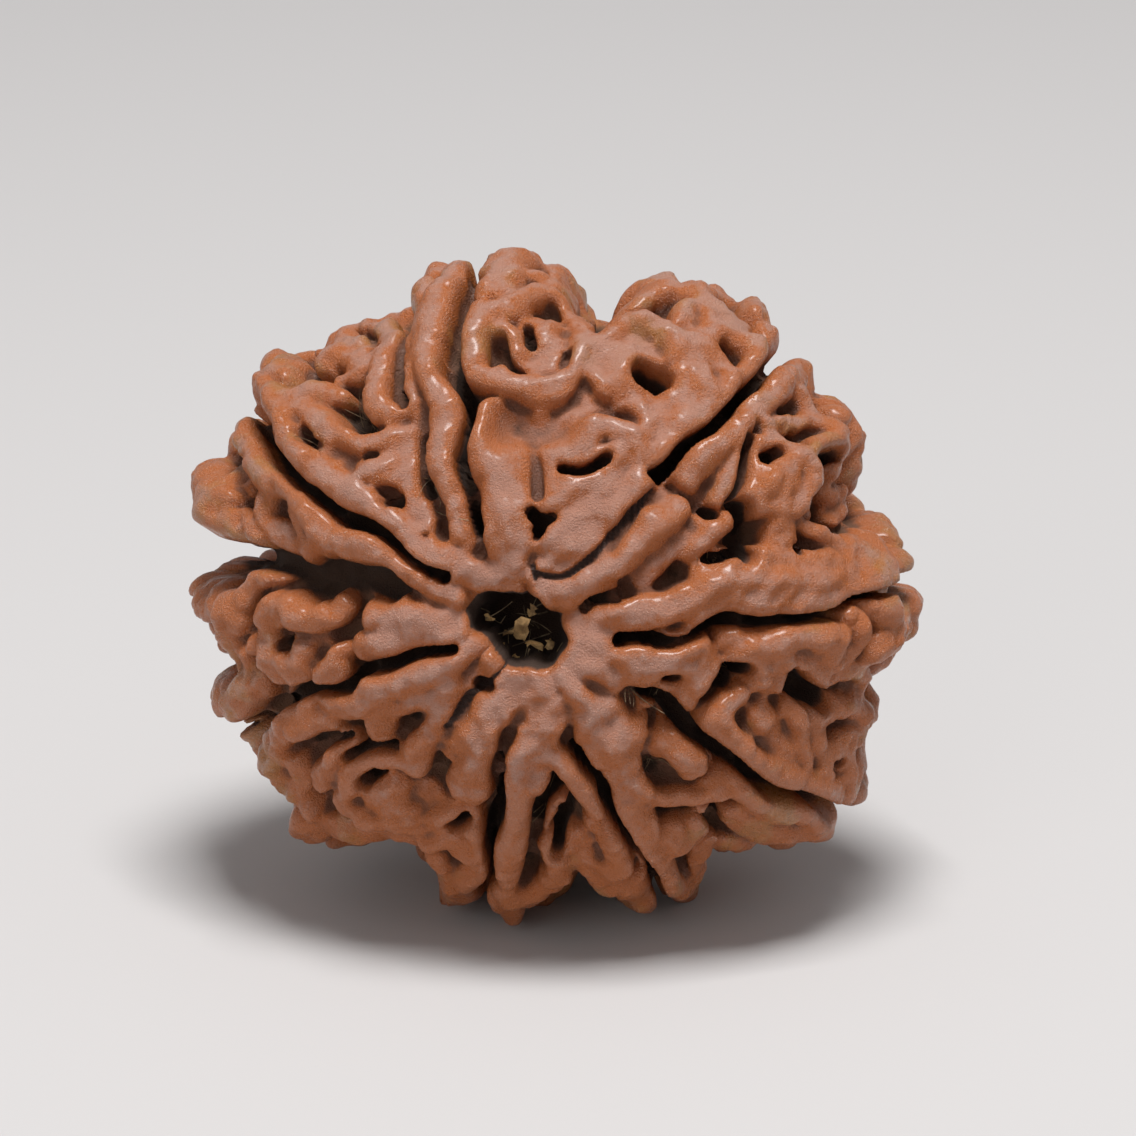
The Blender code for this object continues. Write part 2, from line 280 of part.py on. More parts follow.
# Pits: full width, depth, then a short route
PITS = {
    "heart": (0.4, 2.4, [(88, 18.5), (82.5, 17), (76, 19)]),
    "heart_stem": (0.34, 2.4, [(82.5, 17), (82.5, 14.5), (83.5, 12.5), (80.5, 10.5)]),
    "ring_slot": (0.4, 2.2, [(78, 28.5), (71.5, 28.5), (67.5, 31)]),
    "great_pit": (1.4, 3.4, [(67.5, 50), (65, 49.5)]),
    "twin_pit": (0.55, 2.3, [(90.5, 56.5), (91, 52.5)]),
    "twin_slit": (0.35, 1.6, [(96, 49.5), (94, 47.5), (92.5, 45.5)]),
    "twin_shadow": (0.5, 1.5, [(83.5, 47.5), (83.5, 49)]),
    "collar_notch": (0.34, 1.8, [(24.5, 9), (28.5, 10.5), (26.5, 12.5), (21, 15)]),
    "stud_pit": (0.5, 2.6, [(37, 49.5), (36.5, 53.5)]),
    "window_left": (0.5, 2.2, [(42.5, 62.5), (40.5, 65.5)]),
    "window_right": (0.45, 2.2, [(37.5, 59.5), (35, 60.5)]),
    "window_slit": (0.5, 2.4, [(31, 61.5), (30.5, 66), (29.5, 70)]),
    "column_pit": (0.45, 1.8, [(17, 46.5), (17, 47)]),
    "dark_pool": (1, 2.8, [(31, 41), (26, 40), (21, 37.5)]),
    "pool_arm": (0.5, 2.2, [(23.5, 30.5), (22.5, 33.5), (22, 36.5)]),
    "green_pit": (1, 2.4, [(130.5, 51), (129.5, 48)]),
    "small_green_pit": (0.5, 1.9, [(139.5, 54.5), (139.5, 51.5)]),
    "hook_gap": (0.4, 2.4, [(117, 52.5), (119, 49), (119.5, 45)]),
    "band_slit": (0.3, 1.4, [(132.5, 40), (130, 39)]),
    "knob_pit": (0.6, 1.5, [(137.5, 31), (133.5, 30)]),
    "long_valley": (0.35, 2.2, [(118, 36), (121, 31), (127, 26)]),
    "mouse_pit": (0.35, 1.4, [(134, 22), (134.5, 21)]),
    "eye": (0.45, 1.9, [(187, 43), (187, 41)]),
    "leaf_pit": (0.5, 1.5, [(224, 26), (223, 24.5)]),
    "saddle_pool": (0.5, 1.8, [(213.5, 52), (213.5, 44), (215.5, 37)]),
    "saddle_slot": (0.5, 2, [(220, 39), (221.5, 33.5), (225.5, 30.5)]),
    "saddle_pit": (0.6, 2.3, [(227, 40), (227.5, 36.5)]),
    "south_gap": (0.8, 2.4, [(249.5, 39), (252.5, 36.5)]),
    "south_pool": (0.9, 2.8, [(278, 28.5), (273.5, 32), (272, 37)]),
    "south_pool_right": (0.7, 2.6, [(279.5, 33), (279, 38.5), (276, 44)]),
    "thorn_pit": (0.4, 1.8, [(308.5, 33), (305, 35.5)]),
    "fan_pit_upper": (1, 2.4, [(303, 42), (307, 44.5)]),
    "fan_pit_lower": (0.9, 2.8, [(309.5, 48), (308.5, 51.5)]),
    "fan_notch": (0.35, 1.6, [(302.5, 51), (304, 51)]),
    "gull_pit": (0.45, 1.6, [(339.5, 23), (341.5, 24.5)]),
    "fibre_pool": (0.8, 1.5, [(326, 18), (327, 21.5), (328.5, 24.5)]),
    "east_pool": (1, 2.6, [(342, 33), (347.5, 32.5), (348, 35.5)]),
    "tide_pool": (1, 2.8, [(342.5, 48), (342.5, 53), (341.5, 58)]),
    "tide_slot": (0.5, 2, [(348, 44.5), (345.5, 47)]),
    "claw_slit": (0.35, 1.5, [(332.5, 41), (330, 42.5)]),
    "claw_pit": (0.4, 1.8, [(331.5, 66.5), (332, 69)]),
    "under_finger": (0.6, 1.8, [(35.5, 35), (33, 37)]),
}

# The outline seen down the hole's axis: degrees round, then how far the rim lies inside the ellipse
RIM_DROPS = [(0, -0.5), (5, -0.3), (12, 0.5), (17, 0.9), (20, 1.5), (25, 0.7), (29, 0.1), (33, -0.2),
             (39, 0.6), (44, 0.1), (48, 0.4), (52, -0.4), (62, -0.3), (71, 0), (75, 0.7), (80, 2.4),
             (84, 1.9), (88, 0.7), (94, -0.1), (99, -0.3), (106, -0.2), (111, 0.1), (114, 0.8),
             (120, 0.9), (128, 0.5), (133, 0.4), (138, -0.6), (142, -0.7), (146, 0.1), (151, -0.1),
             (156, 0.1), (161, -0.5), (165, -0.4), (168, 1.3), (171, 1.7), (175, 1.2), (179, 0.3),
             (182, -0.3), (187, -0.1), (192, 0.5), (197, 0), (202, -0.4), (205, 0.5), (209, 0.4),
             (214, 0.1), (218, 0.2), (221, -0.1), (225, -0.8), (232, -0.3), (238, 1.2), (243, 2.2),
             (248, 1.3), (253, -0.3), (257, 0.2), (260, 0.9), (266, -0.2), (271, 0.7), (276, 2),
             (281, 0.7), (285, -0.1), (294, -0.1), (299, 0.6), (303, 1), (308, 0.3), (312, -0.2),
             (318, -1), (325, -0.9), (329, -0.8), (335, 0), (340, 0.3), (345, 0.8), (350, 0.2),
             (354, -0.5)]

# How wide the front hole is: degrees round it, then degrees from its middle
HOLE_RIM = [(0, 6.4), (23, 6.2), (60, 5.2), (88, 7.0), (100, 6.6), (120, 7.6), (147, 10.2), (165, 10.4),
            (178, 9.4), (188, 7.4), (207, 6.6), (236, 7.2), (270, 7.3), (309, 7.6), (342, 6.9)]

# Where the grooves run over the back: degrees round at the rim and degrees round near the far hole
BACK_GROOVES = [(3, 9), (49, 44), (80, 76), (102, 108), (148, 143), (173, 178),
                (206, 211), (240, 236), (261, 262), (287, 284), (318, 322)]
BACK_FROM = 90
BACK_TO = 169


def clear_objects():
    """Removes whatever the new file came with."""
    for thing in list(bpy.data.objects):
        bpy.data.objects.remove(thing, do_unlink=True)


def smooth_route(points):
    """A curve through the route's points, with five steps between each pair."""
    points = np.array(points, float)
    points[:, 0] = np.degrees(np.unwrap(np.radians(points[:, 0])))
    last = len(points) - 1
    made = []
    for i in range(last):
        before, here = points[max(i - 1, 0)], points[i]
        there, after = points[i + 1], points[min(i + 2, last)]
        for step in range(5):
            t = step / 5
            bend = 2 * before - 5 * here + 4 * there - after
            twist = 3 * here - before - 3 * there + after
            made.append(0.5 * (2 * here + (there - before) * t + bend * t * t + twist * t ** 3))
    made.append(points[-1])
    return np.array(made)


def on_crest(degrees_round, degrees_out):
    """The point of the plain ellipsoid for two angles, in the bead's own axes with the hole along z."""
    a, p = np.radians(degrees_round), np.radians(degrees_out)
    return np.stack([HALF_WIDE * np.sin(p) * np.cos(a), HALF_HIGH * np.sin(p) * np.sin(a),
                     HALF_THICK * np.cos(p)], axis=-1)


def waves(points, scale, count, seed):
    """Soft noise between about -1 and 1: a sum of sine waves in seeded directions."""
    draw = np.random.RandomState(seed)
    total = np.zeros(len(points))
    for _ in range(count):
        way = draw.normal(size=3)
        way *= draw.uniform(0.6, 1.5) / (np.linalg.norm(way) * scale)
        total += np.sin(points @ way * 2 * math.pi + draw.uniform(0, 6.28))
    return total / math.sqrt(count)


def near_route(points, route, reach):
    """For the points near a route: which they are, how far away it is and the drop at its nearest place."""
    ends = on_crest(route[:, 0], route[:, 1])
    middle = ends.mean(axis=0)
    radius = np.linalg.norm(ends - middle, axis=1).max() + reach
    which = np.nonzero(((points - middle) ** 2).sum(axis=1) < radius ** 2)[0]
    near = points[which]
    best = np.full(len(which), 1e9)
    drop = np.zeros(len(which))
    for i in range(max(len(ends) - 1, 1)):
        j = min(i + 1, len(ends) - 1)
        along = ends[j] - ends[i]
        share = np.clip((near - ends[i]) @ along / max(along @ along, 1e-9), 0, 1)
        far = np.linalg.norm(near - ends[i] - share[:, None] * along, axis=1)
        closer = far < best
        best = np.where(closer, far, best)
        drop = np.where(closer, route[i, 2] + (route[j, 2] - route[i, 2]) * share, drop)
    return which, best, drop


def rope_fall(far, radius, power):
    """How far a rope has fallen at a distance from its middle line. A higher power has a flatter top."""
    share = np.minimum(far / radius, FLANK_FROM)
    round_part = np.minimum(radius, 0.75) * (1 - (1 - share ** power) ** (1 / power))
    return round_part + FLANK_SLOPE * np.maximum(far - FLANK_FROM * radius, 0)


def floor_level(points, out):
    """The level between the ridges: shallow beside both holes, deep over the rest."""
    ease = np.clip((90 - np.abs(out - 90) - 8) / 15, 0, 1)
    ease = ease * ease * (3 - 2 * ease)
    level = -FLOOR_DROP_AT_POLE - (FLOOR_DROP - FLOOR_DROP_AT_POLE) * ease
    return level + 0.22 * waves(points, 2.6, 9, SEED + 1)


def rim_drop(points, out):
    """How far the crests lie inside the ellipsoid near the rim, from the outline's lobes and notches."""
    around = np.degrees(np.arctan2(points[:, 1] / HALF_HIGH, points[:, 0] / HALF_WIDE))
    inside = np.interp(around, [d for d, _ in RIM_DROPS], [m for _, m in RIM_DROPS], period=360)
    return inside * np.exp(-((out - 90) / 30) ** 4)


def settled(route, sunk):
    """A route with its sunken places moved along the line of sight, so that each is seen where it was."""
    sizes = np.array([HALF_WIDE, HALF_HIGH, HALF_THICK])
    sight = axes_of_bead().T @ sight_line()
    full = on_crest(route[:, 0], route[:, 1])
    normal = full / sizes ** 2
    normal /= np.linalg.norm(normal, axis=1)[:, None]
    facing = np.maximum(normal @ sight, 0)
    slide = sunk * facing / np.maximum(facing ** 2, 0.15)
    unit = (full - sight * slide[:, None]) / (sizes - sunk[:, None])
    unit /= np.linalg.norm(unit, axis=1)[:, None]
    placed = route.copy()
    placed[:, 0] = np.degrees(np.unwrap(np.arctan2(unit[:, 1], unit[:, 0])))
    placed[:, 1] = np.degrees(np.arccos(unit[:, 2]))
    return placed


def rim_of(route):
    """How far the rim lies inside the oval along a route."""
    return RIM_SHARE * rim_drop(on_crest(route[:, 0], route[:, 1]), route[:, 1])


def back_ridges():
    """The seeded rule for the back: banks beside each groove, rungs and fingers between them."""
    draw = random.Random(SEED)
    made = []
    count = len(BACK_GROOVES)
    for i in range(count):
        left, right = BACK_GROOVES[i], BACK_GROOVES[(i + 1) % count]
        turn = 360 if right[0] < left[0] else 0
        made += sector_ridges(draw, left, (right[0] + turn, right[1] + turn))
    return made


def groove_at(groove, out):
    """The degrees round at which a groove of the back lies, so far out."""
    share = (out - BACK_FROM) / (BACK_TO - BACK_FROM)
    return groove[0] + (groove[1] - groove[0]) * share


def degrees_for(width, out):
    """Degrees round that span a width in millimetres, so far out."""
    return math.degrees(width / (12.7 * math.sin(math.radians(out))))


def sector_ridges(draw, left, right):
    """Ridges of one sector of the back, between two grooves."""
    made = []
    for groove, side in ((left, 1), (right, -1)):
        route = []
        for out in range(BACK_FROM + 4, BACK_TO, 9):
            inset = 1.05 + 0.5 * math.sin(math.radians(out)) + draw.uniform(-0.22, 0.22)
            where = groove_at(groove, out) + side * degrees_for(inset, out)
            route.append((where, out, draw.uniform(0.0, 0.35)))
        made.append((draw.uniform(1.25, 1.6), route))
    out = BACK_FROM + draw.uniform(2, 8)
    while out < BACK_TO - 22:
        a, b = groove_at(left, out), groove_at(right, out)
        if (b - a) * 0.22 * math.sin(math.radians(out)) > 4.2:
            made.append(rung(draw, a, b, out))
        out += draw.uniform(8, 14)
    if (right[0] - left[0]) > 30:
        middle = [(0.5 * (groove_at(left, o) + groove_at(right, o)) + draw.uniform(-4, 4), o,
                   draw.uniform(0.1, 0.6)) for o in range(BACK_FROM + 2, 140, 10)]
        made.append((draw.uniform(1.1, 1.5), middle))
    return made


def rung(draw, a, b, out):
    """One winding ridge across a sector, or a finger that ends on the way."""
    stop = 1.0 if draw.random() < 0.6 else draw.uniform(0.5, 0.75)
    if draw.random() < 0.5:
        a, b = b, a
    bend = draw.uniform(-7, 7)
    route = []
    for k in range(6):
        share = k / 5 * stop
        lean = bend * math.sin(math.pi * share) + draw.uniform(-1.5, 1.5)
        route.append((a + (b - a) * (0.12 + 0.76 * share), out + lean, draw.uniform(0.15, 0.6)))
    return draw.uniform(0.9, 1.3), route


def all_cuts():
    """Every groove and pit: full width, depth and route."""
    made = list(GROOVES.values()) + list(PITS.values())
    for groove in BACK_GROOVES:
        route = [(groove_at(groove, out), out) for out in range(BACK_FROM - 3, BACK_TO - 4, 6)]
        made.append((0.6, 3.0, route))
    return made


def height(points, out):
    """How far the skin stands above the plain ellipsoid, in millimetres, for every point."""
    shift = np.stack([waves(points, 3.1, 7, SEED + k) for k in (11, 12, 13)], axis=1)
    asked = points + WOBBLE * shift
    total = np.exp(BLEND * floor_level(points, out))
    for width, route in list(RIDGES.values()) + back_ridges():
        route = smooth_route(route)
        route = settled(route, np.maximum(route[:, 2], 0) + rim_of(route))
        radius = 0.5 * width * RIB_SHARE
        which, far, drop = near_route(asked, route, radius + 1.4)
        power = 2 + 0.5 * max(0, width - 1.5)
        total[which] += np.exp(BLEND * (-drop - rope_fall(far, radius, power)))
    level = np.log(total) / BLEND
    for width, depth, route in all_cuts():
        half = 0.5 * max(width, NARROWEST_CUT)
        route = np.array([(*place, 0.0) for place in route], float)
        route = smooth_route(route) if len(route) > 1 else route
        route = settled(route, 0.4 + rim_of(route))
        which, far, _ = near_route(asked, route, half + 1.0)
        bed = -depth + 1.1 * depth * (far / half) ** 2
        level[which] = lower_of(level[which], bed)
    level -= RIM_SHARE * rim_drop(asked, out)
    around = np.degrees(np.arctan2(points[:, 1], points[:, 0]))
    edge = np.interp(around, [d for d, _ in HOLE_RIM], [m for _, m in HOLE_RIM], period=360)
    level = lower_of(level, hole_bed(out, edge, HOLE_DROP))
    return lower_of(level, hole_bed(180 - out, BACK_HOLE_EDGE, BACK_HOLE_DROP))


def lower_of(level, bed):
    """The lower of two levels, with the corner between them eased."""
    return -np.logaddexp(-CUT_BLEND * level, -CUT_BLEND * bed) / CUT_BLEND


def hole_bed(out, edge, depth):
    """A round-bottomed hole about an end of the axis."""
    return -depth + depth * (out / edge) ** 6


def axes_of_bead():
    """Columns that carry the bead's own axes into the world. The hole looks forward, left and down."""
    along = Vector((HOLE_LEFT, HOLE_DOWN, math.sqrt(1 - HOLE_LEFT ** 2 - HOLE_DOWN ** 2)))
    across = Vector((1, 0, 0)) - along * along.x
    across.normalize()
    up = along.cross(across)
    tilt = math.radians(VIEW_DOWN)
    right = Vector((1, 0, 0))
    high = Vector((0, math.sin(tilt), math.cos(tilt)))
    near = Vector((0, -math.cos(tilt), math.sin(tilt)))
    return np.array([[way.x * right[k] + way.y * high[k] + way.z * near[k] for way in (across, up, along)]
                     for k in range(3)])


def sight_line():
    """The direction from the bead to the eye."""
    tilt = math.radians(VIEW_DOWN)
    return np.array([0, -math.cos(tilt), math.sin(tilt)])


def raised_sphere():
    """A fine sphere whose vertices are moved to the ellipsoid and raised to the skin's height."""
    mesh = bmesh.new()
    bmesh.ops.create_icosphere(mesh, subdivisions=SPHERE_LEVEL, radius=1.0)
    ways = np.array([v.co for v in mesh.verts])
    ways /= np.linalg.norm(ways, axis=1)[:, None]
    points = ways * np.array([HALF_WIDE, HALF_HIGH, HALF_THICK])
    out = np.degrees(np.arccos(np.clip(ways[:, 2], -1, 1)))
    normals = points / np.array([HALF_WIDE ** 2, HALF_HIGH ** 2, HALF_THICK ** 2])
    normals /= np.linalg.norm(normals, axis=1)[:, None]
    skin = points + normals * height(points, out)[:, None]
    skin = skin @ axes_of_bead().T
    for vert, place in zip(mesh.verts, skin):
        vert.co = place
    return mesh


def as_object(mesh, name):
    """A linked object from a bmesh."""
    data = bpy.data.meshes.new(name)
    mesh.to_mesh(data)
    mesh.free()
    made = bpy.data.objects.new(name, data)
    bpy.context.scene.collection.objects.link(made)
    return made


def thin_out(made):
    """Fewer triangles, most of them kept where the relief bends."""
    change = made.modifiers.new("fewer", "DECIMATE")
    change.ratio = TRIANGLES / len(made.data.polygons)
    change.use_collapse_triangulate = True
    graph = bpy.context.evaluated_depsgraph_get()
    mesh = bmesh.new()
    mesh.from_object(made, graph)
    old = made.data
    bpy.data.objects.remove(made, do_unlink=True)
    bpy.data.meshes.remove(old)
    return mesh


def stand_on_flat(mesh):
    """Cuts the tips of the lowest ridges off level, and sets the cut on the ground, in metres."""
    level = -STAND_HEIGHT
    everything = mesh.verts[:] + mesh.edges[:] + mesh.faces[:]
    bmesh.ops.bisect_plane(mesh, geom=everything, plane_co=(0, 0, level), plane_no=(0, 0, -1),
                           clear_outer=True, dist=1e-5)
    bmesh.ops.holes_fill(mesh, edges=[e for e in mesh.edges if e.is_boundary], sides=0)
    for vert in mesh.verts:
        vert.co = (vert.co.x * 0.001, vert.co.y * 0.001, (vert.co.z - level) * 0.001)
    bmesh.ops.triangulate(mesh, faces=mesh.faces[:])
    bmesh.ops.recalc_face_normals(mesh, faces=mesh.faces[:])


def seed_shell_material():
    """Red-brown woody shell with a dry, soft surface."""
    made = bpy.data.materials.new("seed_shell")
    made.use_nodes = True
    shader = made.node_tree.nodes["Principled BSDF"]
    shader.inputs["Base Color"].default_value = (0.27, 0.105, 0.052, 1)
    shader.inputs["Roughness"].default_value = 0.62
    return made


def main():
    clear_objects()
    mesh = thin_out(as_object(raised_sphere(), "fine"))
    stand_on_flat(mesh)
    bead = as_object(mesh, "bead")
    bead.data.materials.append(seed_shell_material())


main()
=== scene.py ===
# %% [markdown]
# # A rudraksha bead
#
# The bead is the stone of a fruit: one woody piece, squat as a pumpkin, with a hole at each end of its axis.
# Long grooves run from one hole to the other. Between them the wood stands up in winding ribs, rings and
# knobs. The bead stands on its rim, with the front hole towards the camera. This script dresses the plain
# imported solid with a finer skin, a finish that changes from crest to groove, and the dry fibres that are
# left in the hole.

import math
import random

import bmesh
import bpy
import numpy as np
from mathutils import Matrix, Vector, kdtree


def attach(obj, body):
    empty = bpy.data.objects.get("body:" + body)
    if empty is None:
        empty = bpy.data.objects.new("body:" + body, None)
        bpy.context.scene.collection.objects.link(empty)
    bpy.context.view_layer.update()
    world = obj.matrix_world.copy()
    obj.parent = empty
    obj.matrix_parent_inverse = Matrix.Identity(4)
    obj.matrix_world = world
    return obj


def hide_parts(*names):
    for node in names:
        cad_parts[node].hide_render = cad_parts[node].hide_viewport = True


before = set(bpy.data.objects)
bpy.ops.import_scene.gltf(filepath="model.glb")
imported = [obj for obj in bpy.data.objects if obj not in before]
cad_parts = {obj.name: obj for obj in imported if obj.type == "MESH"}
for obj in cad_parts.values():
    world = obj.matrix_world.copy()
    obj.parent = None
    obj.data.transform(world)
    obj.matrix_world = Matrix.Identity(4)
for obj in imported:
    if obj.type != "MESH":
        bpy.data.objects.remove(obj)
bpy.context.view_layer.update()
MM = 0.001

# %% [markdown]
# ## Where the bead is, and how it is turned
#
# All shapes are worked out in the bead's own axes, in millimetres, with the hole along z. A turn then
# carries them into the room. The turn says which way the hole looks from the photograph's camera: forward, a
# little to the left and a little down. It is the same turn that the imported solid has, so the two fit without
# any nudging.

# %% Turn from the bead's own axes to the room
HALF_WIDE, HALF_HIGH, HALF_THICK = 13.1, 12.3, 9.0
STAND_HEIGHT = 11.38
VIEW_DOWN = math.radians(20)
HOLE_LEFT, HOLE_DOWN = -0.097, -0.165

RIGHT = Vector((1, 0, 0))
HIGH = Vector((0, math.sin(VIEW_DOWN), math.cos(VIEW_DOWN)))
NEAR = Vector((0, -math.cos(VIEW_DOWN), math.sin(VIEW_DOWN)))


def seen(way):
    """A direction of the camera's view, carried into the room."""
    return RIGHT * way.x + HIGH * way.y + NEAR * way.z


hole_way = Vector((HOLE_LEFT, HOLE_DOWN, math.sqrt(1 - HOLE_LEFT ** 2 - HOLE_DOWN ** 2)))
across = (Vector((1, 0, 0)) - hole_way * hole_way.x).normalized()
up_face = hole_way.cross(across)
TURN = np.array([seen(across), seen(up_face), seen(hole_way)]).T
SIGHT = np.array([across.z, up_face.z, hole_way.z])
SIZES = np.array([HALF_WIDE, HALF_HIGH, HALF_THICK])
print("the front hole looks along", [round(v, 2) for v in seen(hole_way)])


def into_room(places):
    """Points in the bead's own millimetres, carried into the room in metres."""
    return (np.asarray(places) @ TURN.T + np.array([0, 0, STAND_HEIGHT])) * MM


# %% [markdown]
# ## Camera first
#
# The camera looks down at the bead by about twenty degrees from 200 mm away, with a long lens, as a close
# photograph of a small thing is taken. It is set before any shape, so that each shape can be judged against
# the photograph. The bead's middle sits a little left of and below the middle of the picture.

# %% Camera at the photograph's angle
SENSOR_WIDE = 36
CAMERA_AWAY = 200.0
PICTURE_WIDE = 40.57
BEAD_LEFT, BEAD_LOW = 0.625, 0.786


def set_camera():
    """A camera on the photograph's line of sight, without shift or blur."""
    lens = bpy.data.cameras.new("camera")
    lens.sensor_width = SENSOR_WIDE
    lens.lens = SENSOR_WIDE * CAMERA_AWAY / PICTURE_WIDE
    lens.clip_start, lens.clip_end = 0.01, 10
    camera = bpy.data.objects.new("camera", lens)
    place = Vector((0, 0, STAND_HEIGHT)) + NEAR * CAMERA_AWAY + RIGHT * BEAD_LEFT + HIGH * BEAD_LOW
    camera.matrix_world = Matrix.Translation(place * MM) @ Matrix((RIGHT, HIGH, NEAR)).transposed().to_4x4()
    bpy.context.scene.collection.objects.link(camera)
    bpy.context.scene.camera = camera
    return camera


camera = set_camera()
print("lens", round(camera.data.lens, 1), "mm")

# %% [markdown]
# ## The ribs as routes
#
# A rib on the stone is like a rope laid on a pumpkin. Each one is written down as its full width and a few
# places along it. A place has three numbers: degrees round the hole, degrees away from the hole, and how far
# the rib's crest lies below the pumpkin's full size. Sculpting by hand would work too, but a route can be
# read, changed and used again at any fineness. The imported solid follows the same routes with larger
# triangles.

# %% Ribs round the front hole
RIDGES = {
    "petal_north": (1.9, [(100, 37, 0.2), (101, 32.5, 0), (101, 25.5, 0), (100.5, 18.5, 0),
        (100.5, 13.5, 0.1), (104, 10.5, 0.4)]),
    "petal_north_shelf": (1.6, [(93.5, 30, 0.4), (92.5, 25, 0.3), (91.5, 20, 0.2), (91.5, 15, 0.2)]),
    "pole_ring": (1.4, [(83, 23, 0.3), (83.5, 27, 0.3), (81.5, 30.5, 0.2), (77.5, 32.5, 0.2), (74, 35, 0.1),
        (69, 37.5, 0.1), (64, 37, 0.1), (58.5, 35, 0.1), (55.5, 31, 0.1), (55, 26, 0.1), (55.5, 21, 0.1),
        (58, 17, 0.1), (64.5, 13.5, 0.2)]),
    "pole_ring_face": (2.6, [(78, 22.5, 0.2), (73, 25.5, 0.2), (66, 27.5, 0.1), (64, 30.5, 0.1)]),
    "pole_ring_slope": (2.4, [(70, 15.5, 0.2), (67, 19.5, 0.15), (64, 22.5, 0.1)]),
    "ring_spur": (0.6, [(76, 33.5, 0.3), (75.5, 35.5, 0.5)]),
    "lip_finger": (1.5, [(61.5, 8, 0.4), (45, 10.5, 0.2), (40.5, 15, 0.1), (38.5, 19.5, 0), (40, 24, 0),
        (41.5, 27.5, 0), (43, 31, 0.3)]),
    "lip_shelf": (1.6, [(27, 19.5, 0.6), (30.5, 24, 0.5), (33.5, 28, 0.6)]),
    "collar": (0.8, [(38.5, 8, 0.4), (38, 9.5, 0.3), (35.5, 12.5, 0.3), (30.5, 16, 0.4)]),
    "east_rim": (1.7, [(12, 8, 0.5), (12, 11.5, 0.2), (11, 18, 0.05), (11, 24, 0), (13, 30.5, 0),
        (13.5, 35.5, 0), (11, 41, 0), (9.5, 48, 0), (8, 54, 0.1), (8, 58, 0.2)]),
    "east_rim_top": (1.4, [(19.5, 28.5, 0.4), (20, 34, 0.2), (17.5, 37.5, 0.2), (15, 42.5, 0.2),
        (13, 50, 0.2), (12, 55.5, 0.3)]),
    "east_rim_end": (2.4, [(8.5, 57.5, 0.3), (10.5, 63, 0.3), (11.5, 69.5, 0.2), (8.5, 71.5, 0.1),
        (6.5, 65.5, 0.2)]),
    "east_rim_tip": (1.3, [(8, 74, 0.4), (7, 86, 0.3), (7, 96, 0.6)]),
    "east_rim_lower": (1.3, [(6, 27, 0.2), (8.5, 33.5, 0.1), (6.5, 41.5, 0.1), (4, 50.5, 0.1),
        (5, 56.5, 0.2), (6, 66, 0.3)]),
    "gull_crest": (1.4, [(359, 8, 0.4), (350, 12.5, 0.1), (347, 15.5, 0), (349, 19.5, 0), (352.5, 23, 0),
        (356, 27, 0), (352, 29, 0.2)]),
    "gull_petal": (1.9, [(335.5, 8, 0.4), (331.5, 11.5, 0.1), (333.5, 15.5, 0.1), (334.5, 19.5, 0.2),
        (331.5, 22, 0.4)]),
    "gull_end": (1.5, [(350.5, 29, 0.2), (345, 28, 0.3), (338.5, 27.5, 0.3), (334, 28, 0.5)]),
    "gull_face": (1.8, [(342, 18.5, 0.1), (346, 23, 0.1), (348.5, 26, 0.1)]),
    "fan_petal": (1.9, [(311.5, 8, 0.4), (308.5, 12, 0.1), (308.5, 16, 0), (309.5, 20.5, 0),
        (311.5, 24.5, 0.1)]),
    "fan_petal_side": (1.9, [(307.5, 16, 0.1), (304, 21, 0.1), (301.5, 26, 0.1), (299.5, 30, 0.3)]),
    "fan_web": (1.6, [(309, 23.5, 0.1), (303.5, 27, 0.2)]),
    "south_petal": (2.4, [(283.5, 8, 0.3), (280, 12, 0.1), (275.5, 17, 0), (273.5, 20.5, 0)]),
    "south_ridge": (1.3, [(270.5, 18.5, 0), (267, 24.5, 0), (266, 30.5, 0), (265.5, 37, 0), (265, 45, 0.1),
        (264, 55, 0.1), (264, 72, 0.1), (264, 80, 0.5)]),
    "south_ridge_side": (1.4, [(275.5, 22.5, 0.1), (271, 26, 0.2)]),
    "south_ridge_foot": (1.5, [(264, 58, 0.2), (267.5, 59.5, 0.2), (272.5, 54, 0.3), (275, 47.5, 0.4),
        (274.5, 42, 0.6)]),
    "south_finger": (1.3, [(281, 20, 0), (284.5, 23.5, 0), (286.5, 28, 0), (288, 31.5, 0),
        (288.5, 34.5, 0.3)]),
    "south_twig": (0.4, [(279, 30, 0.8), (276.5, 32.5, 1), (274.5, 35.5, 1.2)]),
    "crack_petal": (2, [(259, 7.5, 0.3), (249.5, 12, 0.1), (246.5, 16.5, 0), (247.5, 21, 0), (250, 25, 0.1),
        (251, 30, 0.4)]),
    "crack_petal_edge": (1.4, [(242, 18, 0.2), (240, 21.5, 0.2), (241, 24, 0.4)]),
    "crack_tooth": (0.9, [(253, 34.5, 0.6), (254.5, 37.5, 0.5), (256.5, 40, 0.5)]),
    "leaf_petal": (1.6, [(195, 8, 0.4), (206, 12, 0.1), (208.5, 17.5, 0), (206.5, 23, 0), (205, 28, 0),
        (204.5, 32.5, 0.2), (204, 36.5, 0.4)]),
    "leaf_flank": (1.8, [(220.5, 16, 0.3), (215.5, 21, 0.35), (213, 26, 0.4), (218, 29.5, 0.5),
        (222, 31, 0.6)]),
    "leaf_finger": (1.2, [(219.5, 14.5, 0.3), (226.5, 19, 0.3), (229, 23.5, 0.3), (231, 27.5, 0.3),
        (233, 31, 0.4)]),
    "wedge_petal": (1.6, [(173.5, 10.5, 0.4), (174, 15.5, 0.2), (174, 20, 0.1), (176, 24, 0.2)]),
    "wedge_petal_edge": (1.7, [(181.5, 11.5, 0.4), (184, 17.5, 0.1), (186.5, 22.5, 0.1), (188, 25, 0.3)]),
}
print(len(RIDGES), "ribs so far")

